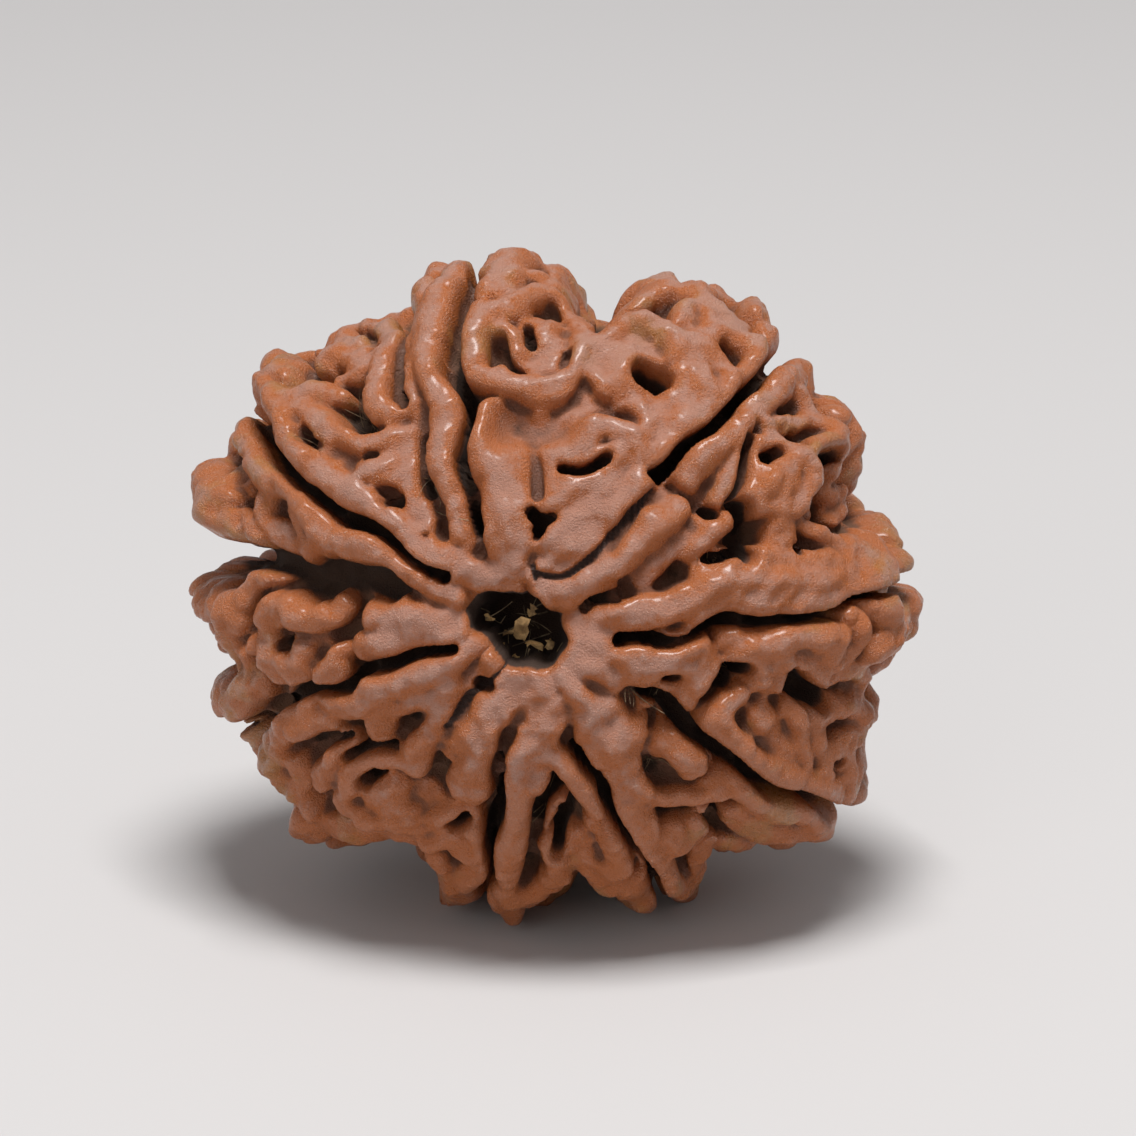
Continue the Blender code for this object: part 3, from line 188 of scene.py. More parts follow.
# %% Ribs of the left and the lower left
RIDGES |= {
    "west_rim": (1.4, [(152, 12.5, 0.4), (152.5, 17.5, 0.2), (152.5, 22, 0.1), (153, 26.5, 0), (153, 32, 0),
        (154, 37, 0), (153, 42.5, 0), (152, 48.5, 0), (152.5, 54.5, 0.1), (152, 60.5, 0.1),
        (150.5, 68, 0.1), (149, 73.5, 0.2), (146, 73, 0.3), (150, 80, 0.3), (152, 95, 0.6)]),
    "west_rim_side": (1.5, [(147.5, 63, 0.4), (150, 58.5, 0.4)]),
    "west_rim_apron": (1.5, [(156, 53, 0.4), (159.5, 51, 0.6), (160, 44.5, 0.7), (159.5, 38, 0.7)]),
    "west_apron_fold": (1.1, [(154.5, 45, 0.4), (157, 40.5, 0.5), (157, 35, 0.5)]),
    "far_west_lump": (2.4, [(155, 60, 0.8), (159.5, 69, 0.2), (164, 76.5, 0), (165.5, 66, 0.1),
        (164, 55, 0.6)]),
    "far_west_over": (2.2, [(163.5, 73, 0.1), (161, 90, 0), (162, 99, 0.2)]),
    "bar_knob": (1.4, [(181.5, 46, 0.2), (179, 42.5, 0.1), (179.5, 37.5, 0.1), (179.5, 33, 0.2),
        (176, 31, 0.5)]),
    "bar_knob_lower": (1.8, [(185.5, 46.5, 0.3), (189.5, 47, 0.2), (193, 45, 0.1), (194.5, 41, 0.2),
        (190.5, 38.5, 0.3)]),
    "bar_floor": (1.6, [(186, 38, 0.7), (186, 32, 0.8)]),
    "thumb": (1.2, [(189, 28.5, 0.6), (190, 31, 0.3), (193.5, 33, 0.2), (196.5, 35, 0.3)]),
    "west_limb_upper": (1.5, [(171.5, 45.5, 0.6), (174.5, 50, 0.5), (179, 56.5, 0.3), (179.5, 64, 0.4),
        (181, 88, 0.4), (182, 96, 0.8)]),
    "west_limb_middle": (2.2, [(182, 58, 0.3), (186.5, 60.5, 0.3), (190.5, 54.5, 0.5)]),
    "west_limb_bud": (0.8, [(185.5, 50, 0.5), (187, 50, 0.5)]),
    "west_limb_lower": (1.9, [(195.5, 51, 0.6), (197, 58, 0.3), (199, 64, 0.3), (199, 82, 0.4),
        (201, 94, 0.8)]),
    "southwest_bank": (1.8, [(207.5, 39, 0.4), (206.5, 45.5, 0.2), (209, 54, 0.2), (212.5, 62, 0.2),
        (217.5, 63.5, 0.3), (222, 60, 0.4)]),
    "southwest_rim": (1.8, [(208, 74, 0.4), (207, 82, 0.3), (208, 94, 0.7)]),
    "southwest_apron": (2, [(215.5, 53.5, 0.5), (218.5, 58.5, 0.4)]),
    "southwest_finger": (1.1, [(216.5, 37.5, 0.5), (217.5, 41, 0.3), (219, 46, 0.2), (220.5, 50.5, 0.4)]),
    "saddle_ring": (1.5, [(229, 30.5, 0.5), (225, 35, 0.3), (224, 41.5, 0.2), (225, 47.5, 0.2),
        (229, 50, 0.1), (234, 49, 0.1), (238, 46.5, 0.1), (243, 43.5, 0.3), (247, 38.5, 0.5),
        (250, 34.5, 0.6)]),
    "saddle_face": (2, [(233, 39, 0.3), (233.5, 43.5, 0.2), (238, 42, 0.3)]),
    "saddle_floor": (2, [(237.5, 34, 1), (243.5, 34, 1)]),
    "southwest_underside": (2.2, [(227.5, 61, 0.8), (232.5, 58, 0.5), (237.5, 53.5, 0.5),
        (242, 47.5, 0.6)]),
    "southwest_under_rim": (2, [(226, 74, 0.5), (228, 82, 0.4), (228, 94, 0.7)]),
    "south_knob": (1.5, [(247.5, 46, 0.4), (251.5, 43, 0.4), (254.5, 46, 0.4)]),
    "south_bank": (1.6, [(257.5, 42, 0.5), (257.5, 48, 0.4), (256.5, 55.5, 0.3), (256.5, 64.5, 0.4),
        (254, 74, 0.6), (255, 90, 0.9)]),
    "south_bank_left": (1.6, [(249, 49.5, 0.5), (252, 56.5, 0.4), (255, 63, 0.4)]),
}
print(len(RIDGES), "ribs so far")

# %% Ribs of the upper left
RIDGES |= {
    "northwest_rim": (1.5, [(119.5, 9, 0.5), (133, 12, 0.2), (138, 16.5, 0.1), (141, 22, 0), (142, 28.5, 0),
        (143, 35, 0), (143.5, 41.5, 0), (144, 47.5, 0), (143.5, 55, 0), (142.5, 62.5, 0), (142.5, 72.5, 0),
        (142.5, 84, 0.1), (139, 80.5, 0.2), (135.5, 77.5, 0.3), (138, 84, 0.3), (139, 95, 0.6)]),
    "sausage": (1.3, [(141.5, 70.5, 0.3), (138, 68, 0.2), (134, 62, 0.2), (132, 56.5, 0.3)]),
    "northwest_fill": (1.8, [(139.5, 64, 0.35), (137, 60, 0.4)]),
    "cross_band": (1.2, [(139, 62, 0.4), (137, 56, 0.3), (136, 51.5, 0.3), (135.5, 47, 0.3), (133, 43, 0.3),
        (127.5, 40.5, 0.4), (123, 38.5, 0.5)]),
    "band_floor": (1.6, [(139, 45, 0.5), (136.5, 41, 0.6)]),
    "knob_lower": (1.8, [(143, 37.5, 0.2), (138, 38, 0.3), (131, 36, 0.3)]),
    "knob_rise": (1.6, [(125.5, 36, 0.5), (126.5, 32, 0.5)]),
    "northwest_floor": (1.8, [(127.5, 30, 0.6), (131.5, 26.5, 0.5), (138.5, 23.5, 0.3)]),
    "crown_knob": (1.9, [(129, 68.5, 0.4), (126.5, 69.5, 0.3), (124, 64, 0.4), (126, 82, 0.4),
        (127, 94, 0.7)]),
    "crown_knob_lower": (1.4, [(128.5, 60, 0.6), (125.5, 59.5, 0.5), (122.5, 61.5, 0.5)]),
    "hook": (1.3, [(117, 63.5, 0.4), (120.5, 58, 0.4), (123.5, 53, 0.4), (124, 48, 0.4), (122, 44, 0.5),
        (119.5, 42.5, 0.7)]),
    "hook_over": (1.4, [(117.5, 64.5, 0.4), (119, 84, 0.5), (119, 95, 0.8)]),
    "long_ridge": (1.5, [(124, 16.5, 0.4), (120.5, 21.5, 0), (117.5, 27, 0), (115, 32, 0), (113, 37.5, 0),
        (111.5, 43.5, 0), (111.5, 50, 0), (111.5, 57, 0), (109, 66, 0), (107, 74.5, 0.1), (105.5, 84, 0.2),
        (106, 92, 0.3), (106, 99, 0.6)]),
    "long_ridge_flank": (1.3, [(117.5, 37, 0.8), (117.5, 42.5, 0.5), (115.5, 51, 0.4), (113.5, 59, 0.3),
        (110.5, 69, 0.3), (111, 84, 0.3), (111, 95, 0.7)]),
}
print(len(RIDGES), "ribs so far")

# %% Ribs of the two top rings and the arch behind
RIDGES |= {
    "twin_ring": (1.3, [(93.5, 65, 0.1), (96.5, 63.5, 0.1), (99.5, 62, 0.1), (101.5, 57, 0.1),
        (102, 50.5, 0.1), (100, 45, 0.2), (94.5, 43, 0.2), (89, 41.5, 0.3), (83.5, 42.5, 0.3),
        (81, 46.5, 0.3), (80.5, 53, 0.2), (83, 60, 0.2), (86, 65.5, 0.1), (89.5, 68.5, 0.1),
        (93.5, 65, 0.1)]),
    "twin_ring_lip": (1.3, [(95.5, 46, 0.3), (90.5, 43.5, 0.3), (85.5, 43, 0.3), (82, 45, 0.3)]),
    "twin_ring_floor": (3.4, [(88.5, 49.5, 0.62), (88.5, 54, 0.55)]),
    "twin_ring_back": (2.4, [(97, 70, 0.2), (96.5, 78, 0.2), (96, 92, 0.3), (97, 98, 0.6)]),
    "twin_ring_shoulder": (1.8, [(90.5, 74, 0.2), (86, 69.5, 0.2), (90, 88, 0.4), (91, 96, 0.8)]),
    "twin_ring_bud": (0.8, [(87.5, 40, 0.5), (87, 36.5, 0.7)]),
    "north_plateau": (2.4, [(93, 34, 1.1), (84, 32.5, 1.1), (75, 36, 1), (74, 41.5, 1)]),
    "side_knob": (0.8, [(78.5, 48.5, 0.5), (76, 45.5, 0.35), (74, 43, 0.5)]),
    "great_ring": (1.9, [(78.5, 51, 0.3), (77.5, 55.5, 0.1), (75.5, 60, 0.05), (71.5, 63.5, 0.05),
        (67, 62.5, 0.05), (62, 59, 0.1), (57.5, 55, 0.1), (54.5, 49.5, 0.1), (54, 43.5, 0.1),
        (55, 38, 0.2)]),
    "great_ring_outer": (1.5, [(63, 63, 0.3), (58.5, 62, 0.2), (53.5, 60, 0.2), (51.5, 54, 0.2),
        (51, 46.5, 0.2), (51.5, 40, 0.2), (53, 36, 0.4)]),
    "great_ring_slope": (3, [(75.5, 51.5, 0.35), (72.5, 48, 0.45), (69.5, 45.5, 0.55)]),
    "great_ring_inner": (1.5, [(62, 56, 0.3), (59.5, 51, 0.3), (60, 46.5, 0.4), (61, 42.5, 0.4)]),
    "pit_knob": (0.8, [(67.5, 44.5, 0.5), (64.5, 44.5, 0.5), (61.5, 43.5, 0.5)]),
    "ring_neck": (1.4, [(62.5, 41.5, 0.4), (58.5, 39, 0.3)]),
    "top_arch_bank": (1.4, [(62, 65.5, 0.5), (60, 72, 0.3), (55.5, 73.5, 0.3), (51.5, 71, 0.3),
        (51, 64.5, 0.3), (52, 59.5, 0.4)]),
    "top_arch": (1.5, [(77.5, 63.5, 0.5), (74.5, 70.5, 0.3), (71.5, 79, 0.2), (67, 82, 0.2),
        (62, 79.5, 0.2), (57, 77.5, 0.3)]),
    "top_arch_over": (2, [(66, 88, 0.2), (66, 96, 0.6)]),
    "top_arch_bar": (1.1, [(66, 74, 0.3), (65, 67, 0.4), (65, 63, 0.5)]),
    "top_arch_bar_right": (1.1, [(63, 77.5, 0.3), (61, 70.5, 0.4), (60, 64.5, 0.5)]),
    "top_arch_rim": (1.8, [(52, 84, 0.3), (53, 95, 0.6)]),
}
print(len(RIDGES), "ribs so far")

# %% Ribs of the right side
RIDGES |= {
    "northeast_lobe": (1.5, [(46, 37, 0.4), (46, 41.5, 0.1), (46, 47, 0), (45.5, 52.5, 0.1)]),
    "northeast_tooth": (1.3, [(43, 49.5, 0.2), (40, 45, 0.3), (37.5, 42, 0.3), (36, 39, 0.5)]),
    "northeast_under": (2, [(42.5, 35, 1.1), (38, 36.5, 1.1)]),
    "northeast_bank": (1.6, [(46.5, 54.5, 0.2), (46.5, 59.5, 0.1), (46, 65.5, 0.1), (44.5, 71.5, 0.2),
        (44.5, 76, 0.4), (44, 86, 0.5), (44, 95, 0.8)]),
    "window_side": (1.1, [(44, 74, 0.3), (41, 70.5, 0.3), (39, 69.5, 0.3)]),
    "window_limb": (1.4, [(40.5, 59.5, 0.3), (38.5, 65.5, 0.3), (36, 71, 0.3), (33, 74, 0.3),
        (30, 72.5, 0.4), (28, 68.5, 0.6)]),
    "window_bar": (1, [(40.5, 56, 0.3), (36, 56.5, 0.3), (33.5, 59, 0.3), (32.5, 64.5, 0.4),
        (31.5, 70.5, 0.4)]),
    "window_rim": (1.7, [(35, 84, 0.4), (34, 95, 0.8)]),
    "stud_ring": (1.3, [(36, 44, 0.3), (38.5, 47, 0.3), (39.5, 51, 0.3), (36.5, 55.5, 0.2), (33, 58.5, 0.1),
        (29.5, 59, 0.1), (26.5, 55.5, 0.1), (26, 51.5, 0.1), (28, 47, 0.1), (31.5, 44.5, 0.2),
        (36, 44, 0.3)]),
    "stud_face": (2.2, [(32.5, 48.5, 0.1), (32, 52.5, 0.1), (29, 51.5, 0.1)]),
    "stud_link": (1.2, [(39.5, 54.5, 0.4), (42.5, 56.5, 0.3)]),
    "east_column": (1.7, [(27, 48.5, 0.3), (23, 46.5, 0.4), (18.5, 43.5, 0.5)]),
    "hook_finger": (1.1, [(27, 28, 0.6), (29, 31.5, 0.4), (30, 35, 0.4), (30, 38, 0.5)]),
    "hook_shoulder": (1, [(35, 32, 0.8), (33, 35, 0.7)]),
    "east_side_knob": (1.6, [(27.5, 64, 1), (24, 63, 0.8), (22, 67.5, 0.5), (20.5, 61, 0.9)]),
    "east_side_rim": (1.5, [(24, 82, 0.7), (24, 94, 1)]),
    "east_fold": (1.1, [(21.5, 50.5, 0.6), (18.5, 53.5, 0.5), (15, 57.5, 0.5)]),
    "lower_east_bank": (1.7, [(352.5, 31, 0.5), (354.5, 35, 0.2), (356, 40.5, 0.1), (356.5, 47.5, 0),
        (354.5, 54, 0.1)]),
    "lower_east_face": (1.7, [(350.5, 36, 0.4), (351, 43.5, 0.3), (349.5, 51, 0.3), (347, 54, 0.5)]),
    "lower_east_knob": (1.2, [(359, 57.5, 0.4), (356.5, 61.5, 0.2), (353.5, 61, 0.3), (352, 56.5, 0.3)]),
    "east_limb": (1.8, [(0.5, 65, 0.4), (358.5, 72.5, 0.3), (355.5, 76, 0.2), (353, 69.5, 0.3),
        (356, 92, 0.5)]),
    "lower_east_side": (1.7, [(349, 56.5, 0.5), (349.5, 63.5, 0.4), (346, 67, 0.4), (344, 63, 0.6),
        (342.5, 58, 0.8)]),
    "lower_east_rim": (1.7, [(349, 78, 0.4), (348, 94, 0.8)]),
    "pool_tooth": (1.2, [(342.5, 35, 1), (344.5, 39.5, 0.5), (344.5, 44.5, 0.5)]),
    "tide_shelf": (1.5, [(337.5, 53, 0.6), (341, 60.5, 0.5), (341, 68.5, 0.4), (337.5, 72, 0.4),
        (334.5, 68, 0.4), (333.5, 62.5, 0.5)]),
}
print(len(RIDGES), "ribs so far")

# %% Ribs of the lower right
RIDGES |= {
    "claw": (1.5, [(339, 36, 0.5), (333.5, 35.5, 0.2), (329, 38, 0.1), (327, 42.5, 0), (326, 48, 0),
        (326, 55, 0), (325, 64.5, 0.1), (324.5, 77.5, 0.2)]),
    "claw_face": (2, [(336.5, 42, 0.5), (332.5, 46.5, 0.5), (330, 51.5, 0.3)]),
    "claw_ridge": (1, [(340, 47, 0.6), (337, 50.5, 0.4), (332.5, 54, 0.3), (328, 60, 0.2)]),
    "claw_flat": (2, [(334.5, 57, 0.5), (329.5, 65, 0.3)]),
    "claw_rim": (1.6, [(333, 70.5, 0.4), (330.5, 78.5, 0.3), (325, 83, 0.3), (333, 84, 0.4),
        (333, 94, 0.8)]),
    "fan_bank_right": (1.5, [(317, 42, 0.5), (317.5, 45.5, 0.3), (318, 50, 0.1), (318, 58.5, 0.1),
        (318, 66, 0.2)]),
    "fan_bank_slope": (2, [(313.5, 53, 0.5), (313.5, 64, 0.4), (315, 75.5, 0.4)]),
    "fan_bank_rim": (1.8, [(319, 73, 0.3), (320, 74.5, 0.3), (318, 84, 0.3), (317, 94, 0.7)]),
    "fan_under": (1.8, [(306, 59, 0.6), (308, 64.5, 0.6), (308, 80, 0.6), (308, 92, 0.9)]),
    "thorn": (1.6, [(315, 28, 0.7), (317.5, 30, 0.3), (319, 33.5, 0.1), (318.5, 36.5, 0.4)]),
    "fan_bank": (1.5, [(298, 33, 0.3), (297, 39.5, 0.2), (295.5, 46.5, 0.1), (294.5, 55.5, 0.1),
        (294, 65.5, 0.2), (296, 70, 0.3), (300, 63.5, 0.3), (303.5, 56, 0.4)]),
    "fan_link_upper": (1, [(300.5, 32, 0.3), (302, 37, 0.3), (306, 39.5, 0.3), (311.5, 42.5, 0.3),
        (315, 45.5, 0.3)]),
    "fan_saddle": (1.5, [(300, 46.5, 0.3), (300.5, 51, 0.3), (305, 49.5, 0.4), (308.5, 47, 0.4)]),
    "southeast_bank": (1.5, [(287.5, 37.5, 0.6), (288.5, 43, 0.2), (287, 49, 0.1), (284, 52.5, 0.3)]),
    "southeast_left": (1.4, [(283, 40.5, 0.8), (281.5, 46.5, 0.5), (282.5, 52, 0.4)]),
    "southeast_arch": (1, [(275, 45.5, 0.5), (278.5, 47, 0.6), (281.5, 50, 0.5)]),
    "southeast_foot": (1.5, [(281.5, 51, 0.4), (283.5, 56.5, 0.3), (287.5, 58, 0.2), (288, 65.5, 0.3),
        (287, 73.5, 0.4), (284, 84, 0.6), (284, 94, 0.9)]),
}
print(len(RIDGES), "ribs so far")

# %% Low wide ropes that are seen as floors
RIDGES |= {
    "crack_strip": (1.6, [(54.5, 11.5, 0.4), (51, 15.5, 0.5), (50.5, 20.5, 0.55), (50, 26, 0.6),
        (50, 30.5, 0.8)]),
    "leaf_strip": (1.5, [(238.5, 9, 0.4), (234.5, 12.5, 0.6), (234, 16.5, 0.7), (235, 20.5, 0.9)]),
    "great_ring_bowl": (3.2, [(74, 54.5, 0.45), (70.5, 55.5, 0.55), (66.5, 56.5, 0.6)]),
    "great_ring_knob": (1, [(67.5, 44, 0.35), (65.5, 44, 0.35)]),
    "twin_ring_ledge": (1.1, [(96.5, 56, 0.35), (94.5, 52.5, 0.45), (93, 49.5, 0.5)]),
    "north_east_crack_floor": (1.7, [(71, 10.5, 0.22), (58, 12.5, 0.25), (53.5, 16.5, 0.35),
        (51.5, 21, 0.5), (51, 26, 0.7)]),
    "south_west_crack_floor": (1.5, [(232, 6, 0.22), (233, 9, 0.3), (231, 12, 0.45), (231.5, 15.5, 0.65),
        (232.5, 19.5, 0.85)]),
}
print(len(RIDGES), "ribs on the front")

# %% [markdown]
# ## Grooves, cracks and pits as routes
#
# The long grooves part the stone into its faces, and small pits open between the ribs. They are cuts: a full
# width, a depth and a short route. Written apart from the ribs, they can be made finer or deeper on their
# own.

# %% Grooves of the front
GROOVES = {
    "east": (0.5, 3, [(357, 14), (357.5, 17.5), (357, 21.5), (360, 27), (2, 32.5), (2.5, 39), (1, 47),
        (1.5, 54), (3, 62.5), (3.5, 73), (4, 92)]),
    "north_east": (0.6, 3, [(53, 33.5), (51, 37), (49.5, 43.5), (50, 49.5), (49.5, 57), (49, 65),
        (48.5, 71.5)]),
    "north": (0.5, 3, [(112, 18), (112, 21.5), (110.5, 26.5), (108.5, 32), (107, 37), (106, 43),
        (105, 49.5), (104.5, 55.5)]),
    "north_rim": (0.4, 1.6, [(104.5, 55.5), (103.5, 61.5), (102, 70), (103, 92)]),
    "north_west": (0.6, 3, [(144, 15), (144.5, 19), (146, 23.5), (147, 28.5), (148, 34), (148.5, 38.5),
        (149, 43), (150, 48), (148.5, 53.5), (147.5, 60.5), (146.5, 67.5), (147, 92)]),
    "south_west": (0.55, 2.8, [(194, 12), (194.5, 16.5), (197, 22), (197, 27), (199, 31), (200, 36.5),
        (200, 43), (203.5, 52)]),
    "south_south_west": (0.45, 3, [(261, 23.5), (261.5, 28), (260.5, 32.5), (260.5, 39), (260.5, 45.5),
        (260.5, 54), (260, 60.5), (259, 84)]),
    "south_south_east": (0.5, 3, [(294, 22), (292.5, 25.5), (293, 30), (293, 35), (293, 40), (293, 47),
        (292.5, 55.5), (291, 68), (289, 84)]),
    "south_east": (0.85, 3, [(328, 22), (328.5, 26.5), (327, 30.5), (325.5, 34.5), (323.5, 39.5),
        (322.5, 45.5), (322, 52.5), (322.5, 60.5), (322.5, 70), (321.5, 81.5), (324, 84)]),
    "west_valley": (1.6, 2.1, [(163, 23), (164.5, 29), (167, 34.5), (169.5, 38.5), (168.5, 43),
        (168.5, 50.5), (172, 90)]),
    "north_east_rim": (0.5, 1.6, [(49, 67.5), (48.5, 71.5), (48, 90)]),
    "south_west_rim": (0.4, 1.5, [(202.5, 49.5), (205, 56.5), (206, 90)]),
    "top_notch": (1.6, 2, [(80, 76), (80, 92)]),
    "stud_groove": (0.5, 1.6, [(42, 50.5), (39.5, 46), (35.5, 42), (33.5, 39)]),
    "stud_groove_right": (0.5, 1.6, [(30, 62), (26.5, 58.5), (24.5, 54.5)]),
    "thorn_under": (0.6, 2, [(307, 33), (308.5, 36.5), (313.5, 38.5), (317.5, 39)]),
    "thorn_tip": (0.4, 1.6, [(322, 36.5), (320, 38.5), (317, 39.5)]),
}
print(len(GROOVES), "grooves on the front")

# %% Pits of the front
PITS = {
    "heart": (0.5, 2, [(87.5, 19), (82, 17.5), (76.5, 19)]),
    "heart_body": (0.6, 2, [(82, 18), (82.5, 16.5)]),
    "heart_stem": (0.26, 1.8, [(83, 16), (84.5, 14), (84.5, 11.5), (81, 10)]),
    "ring_slot": (0.45, 2.1, [(79, 28), (74.5, 28.5), (70.5, 29.5), (67, 31)]),
    "great_pit": (1.25, 3.5, [(67.5, 49.5), (64, 50)]),
    "twin_pit": (0.55, 2.1, [(91.5, 57), (91, 52.5)]),
    "twin_slit": (0.42, 1.7, [(97, 53.5), (95.5, 49.5), (92.5, 46)]),
    "twin_shadow": (0.45, 1.3, [(83.5, 47), (83, 50)]),
    "collar_notch": (0.34, 1.8, [(24.5, 9), (28.5, 10.5), (26.5, 12.5), (21, 15)]),
    "stud_pit": (0.5, 2.6, [(37, 49.5), (36.5, 53.5)]),
    "window_left": (0.5, 2.2, [(42.5, 62.5), (40.5, 65.5)]),
    "window_right": (0.45, 2.2, [(37.5, 59.5), (35, 60.5)]),
    "window_slit": (0.5, 2.4, [(31, 61.5), (30.5, 66), (29.5, 70)]),
    "column_pit": (0.45, 1.8, [(17, 46.5), (17, 47)]),
    "dark_pool": (1, 2.8, [(31, 41), (26, 40), (21, 37.5)]),
    "pool_arm": (0.5, 2.2, [(23.5, 30.5), (22.5, 33.5), (22, 36.5)]),
    "green_pit": (1, 2.4, [(130.5, 51), (129.5, 48)]),
    "small_green_pit": (0.5, 1.9, [(139.5, 54.5), (139.5, 51.5)]),
    "hook_gap": (0.4, 2.4, [(117, 52.5), (119, 49), (119.5, 45)]),
    "band_slit": (0.3, 1.4, [(132.5, 40), (130, 39)]),
    "knob_pit": (0.6, 1.5, [(137.5, 31), (133.5, 30)]),
    "long_valley": (0.35, 2.2, [(118, 36), (121, 31), (127, 26)]),
    "mouse_pit": (0.35, 1.4, [(134, 22), (134.5, 21)]),
    "eye": (0.45, 1.9, [(187, 43), (187, 41)]),
    "leaf_pit": (0.5, 1.5, [(224, 26), (223, 24.5)]),
    "saddle_pool": (0.5, 1.8, [(213.5, 52), (213.5, 44), (215.5, 37)]),
    "saddle_slot": (0.5, 2, [(220, 39), (221.5, 33.5), (225.5, 30.5)]),
    "saddle_pit": (0.6, 2.3, [(227, 40), (227.5, 36.5)]),
    "south_gap": (0.8, 2.4, [(249.5, 39), (252.5, 36.5)]),
    "south_pool": (0.9, 2.8, [(278, 28.5), (273.5, 32), (272, 37)]),
    "south_pool_right": (0.7, 2.6, [(279.5, 33), (279, 38.5), (276, 44)]),
    "thorn_pit": (0.4, 1.8, [(308.5, 33), (305, 35.5)]),
    "fan_pit_upper": (1, 2.4, [(303, 42), (307, 44.5)]),
    "fan_pit_lower": (0.9, 2.8, [(309.5, 48), (308.5, 51.5)]),
    "fan_notch": (0.35, 1.6, [(302.5, 51), (304, 51)]),
    "gull_pit": (0.45, 1.6, [(339.5, 23), (341.5, 24.5)]),
    "fibre_pool": (0.8, 1.5, [(326, 18), (327, 21.5), (328.5, 24.5)]),
    "east_pool": (1, 2.6, [(342, 33), (347.5, 32.5), (348, 35.5)]),
    "tide_pool": (1.5, 2.8, [(345, 47), (343.5, 51), (342.5, 56)]),
    "tide_slot": (0.5, 2, [(348, 44.5), (345.5, 47)]),
    "claw_slit": (0.35, 1.5, [(332.5, 41), (330, 42.5)]),
    "claw_pit": (0.4, 1.8, [(331.5, 66.5), (332, 69)]),
    "under_finger": (0.6, 1.8, [(35.5, 35), (33, 37)]),
    "saddle_floor": (2.6, 1.2, [(93.5, 35), (89, 34), (84, 35.5)]),
    "finger_cleft": (0.7, 1, [(89.5, 31.5), (88, 28), (87, 24.5), (85.5, 22)]),
    "finger_valley": (2.2, 0.62, [(90, 32.5), (88.5, 29), (87, 26)]),
}
print(len(PITS), "pits on the front")

# %% [markdown]
# Two fine cracks start at the hole. They are far thinner than a groove, so they are kept apart and cut last.

# %% Fine cracks beside the front hole
CRACKS = {
    "north_east": (0.2, 0.3, [(79, 10), (67, 10), (56.5, 11.5), (51.5, 15.5), (50.5, 20.5), (50.5, 26),
        (50.5, 31)]),
    "south_west": (0.2, 0.3, [(240.5, 6), (237.5, 8), (236, 9.5), (233, 11.5), (231, 13.5), (232.5, 17),
        (233, 20.5)]),
    "south_west_notch": (0.4, 0.9, [(237.5, 10.5), (232, 11)]),
    "top": (0.2, 0.3, [(84, 11), (80, 9)]),
}
print(len(CRACKS), "pieces of crack")

# %% [markdown]
# ## The outline round the rim
#
# Seen down the hole's axis the stone isn't a clean oval: its faces stand out as lobes, and the grooves bite
# in. A short table gives how far the rim lies inside the oval, all the way round, and the ribs sink with it.

# %% Lobes and notches of the rim
RIM_DROPS = [(0, -0.5), (5, -0.3), (12, 0.5), (17, 0.9), (20, 1.5), (25, 0.7), (29, 0.1), (33, -0.2),
             (39, 0.6), (44, 0.1), (48, 0.4), (52, -0.4), (62, -0.3), (71, 0), (75, 0.7), (80, 2.4),
             (84, 1.9), (88, 0.7), (94, -0.1), (99, -0.3), (106, -0.2), (111, 0.1), (114, 0.8), (120, 0.9),
             (128, 0.5), (133, 0.4), (138, -0.6), (142, -0.7), (146, 0.1), (151, -0.1), (156, 0.1),
             (161, -0.5), (165, -0.4), (168, 1.3), (171, 1.7), (175, 1.2), (179, 0.3), (182, -0.3),
             (187, -0.1), (192, 0.5), (197, 0), (202, -0.4), (205, 0.5), (209, 0.4), (214, 0.1), (218, 0.2),
             (221, -0.1), (225, -0.8), (232, -0.3), (238, 1.2), (243, 2.2), (248, 1.3), (253, -0.3),
             (257, 0.2), (260, 0.9), (266, -0.2), (271, 0.7), (276, 2), (281, 0.7), (285, -0.1),
             (294, -0.1), (299, 0.6), (303, 1), (308, 0.3), (312, -0.2), (318, -1), (325, -0.9),
             (329, -0.8), (335, 0), (340, 0.3), (345, 0.8), (350, 0.2), (354, -0.5)]
RIM_SHARE, RIM_REACH = 0.85, 30


def rim_drop(points, out):
    """How far the crests lie inside the oval near the rim."""
    around = np.degrees(np.arctan2(points[:, 1] / HALF_HIGH, points[:, 0] / HALF_WIDE))
    inside = np.interp(around, [d for d, _ in RIM_DROPS], [m for _, m in RIM_DROPS], period=360)
    return inside * np.exp(-((out - 90) / RIM_REACH) ** 4)


print("deepest notch", max(m for _, m in RIM_DROPS), "mm")

# %% [markdown]
# ## The back, by a seeded rule
#
# The photograph doesn't show the back. On a real stone the same grooves run on to the far hole, with a
# raised bank on each side and ribs that wind from bank to bank. The rule below lays such ribs with a seeded
# draw, so the back is different from the front but of the same kind, and the same in every run.

# %% Ribs of the back
SEED = 108
BACK_GROOVES = [(3, 9), (49, 44), (80, 76), (102, 108), (148, 143), (173, 178),
                (206, 211), (240, 236), (261, 262), (287, 284), (318, 322)]
BACK_FROM, BACK_TO = 90, 169
MEAN_RADIUS = 12.7
BANK_INSET = 1.05
MM_A_DEGREE, LEAST_SPAN = 0.22, 4.2


def groove_at(groove, out):
    """The degrees round at which a groove of the back lies, so far out."""
    share = (out - BACK_FROM) / (BACK_TO - BACK_FROM)
    return groove[0] + (groove[1] - groove[0]) * share


def degrees_for(width, out):
    """Degrees round that span a width in millimetres, so far out."""
    return math.degrees(width / (MEAN_RADIUS * math.sin(math.radians(out))))


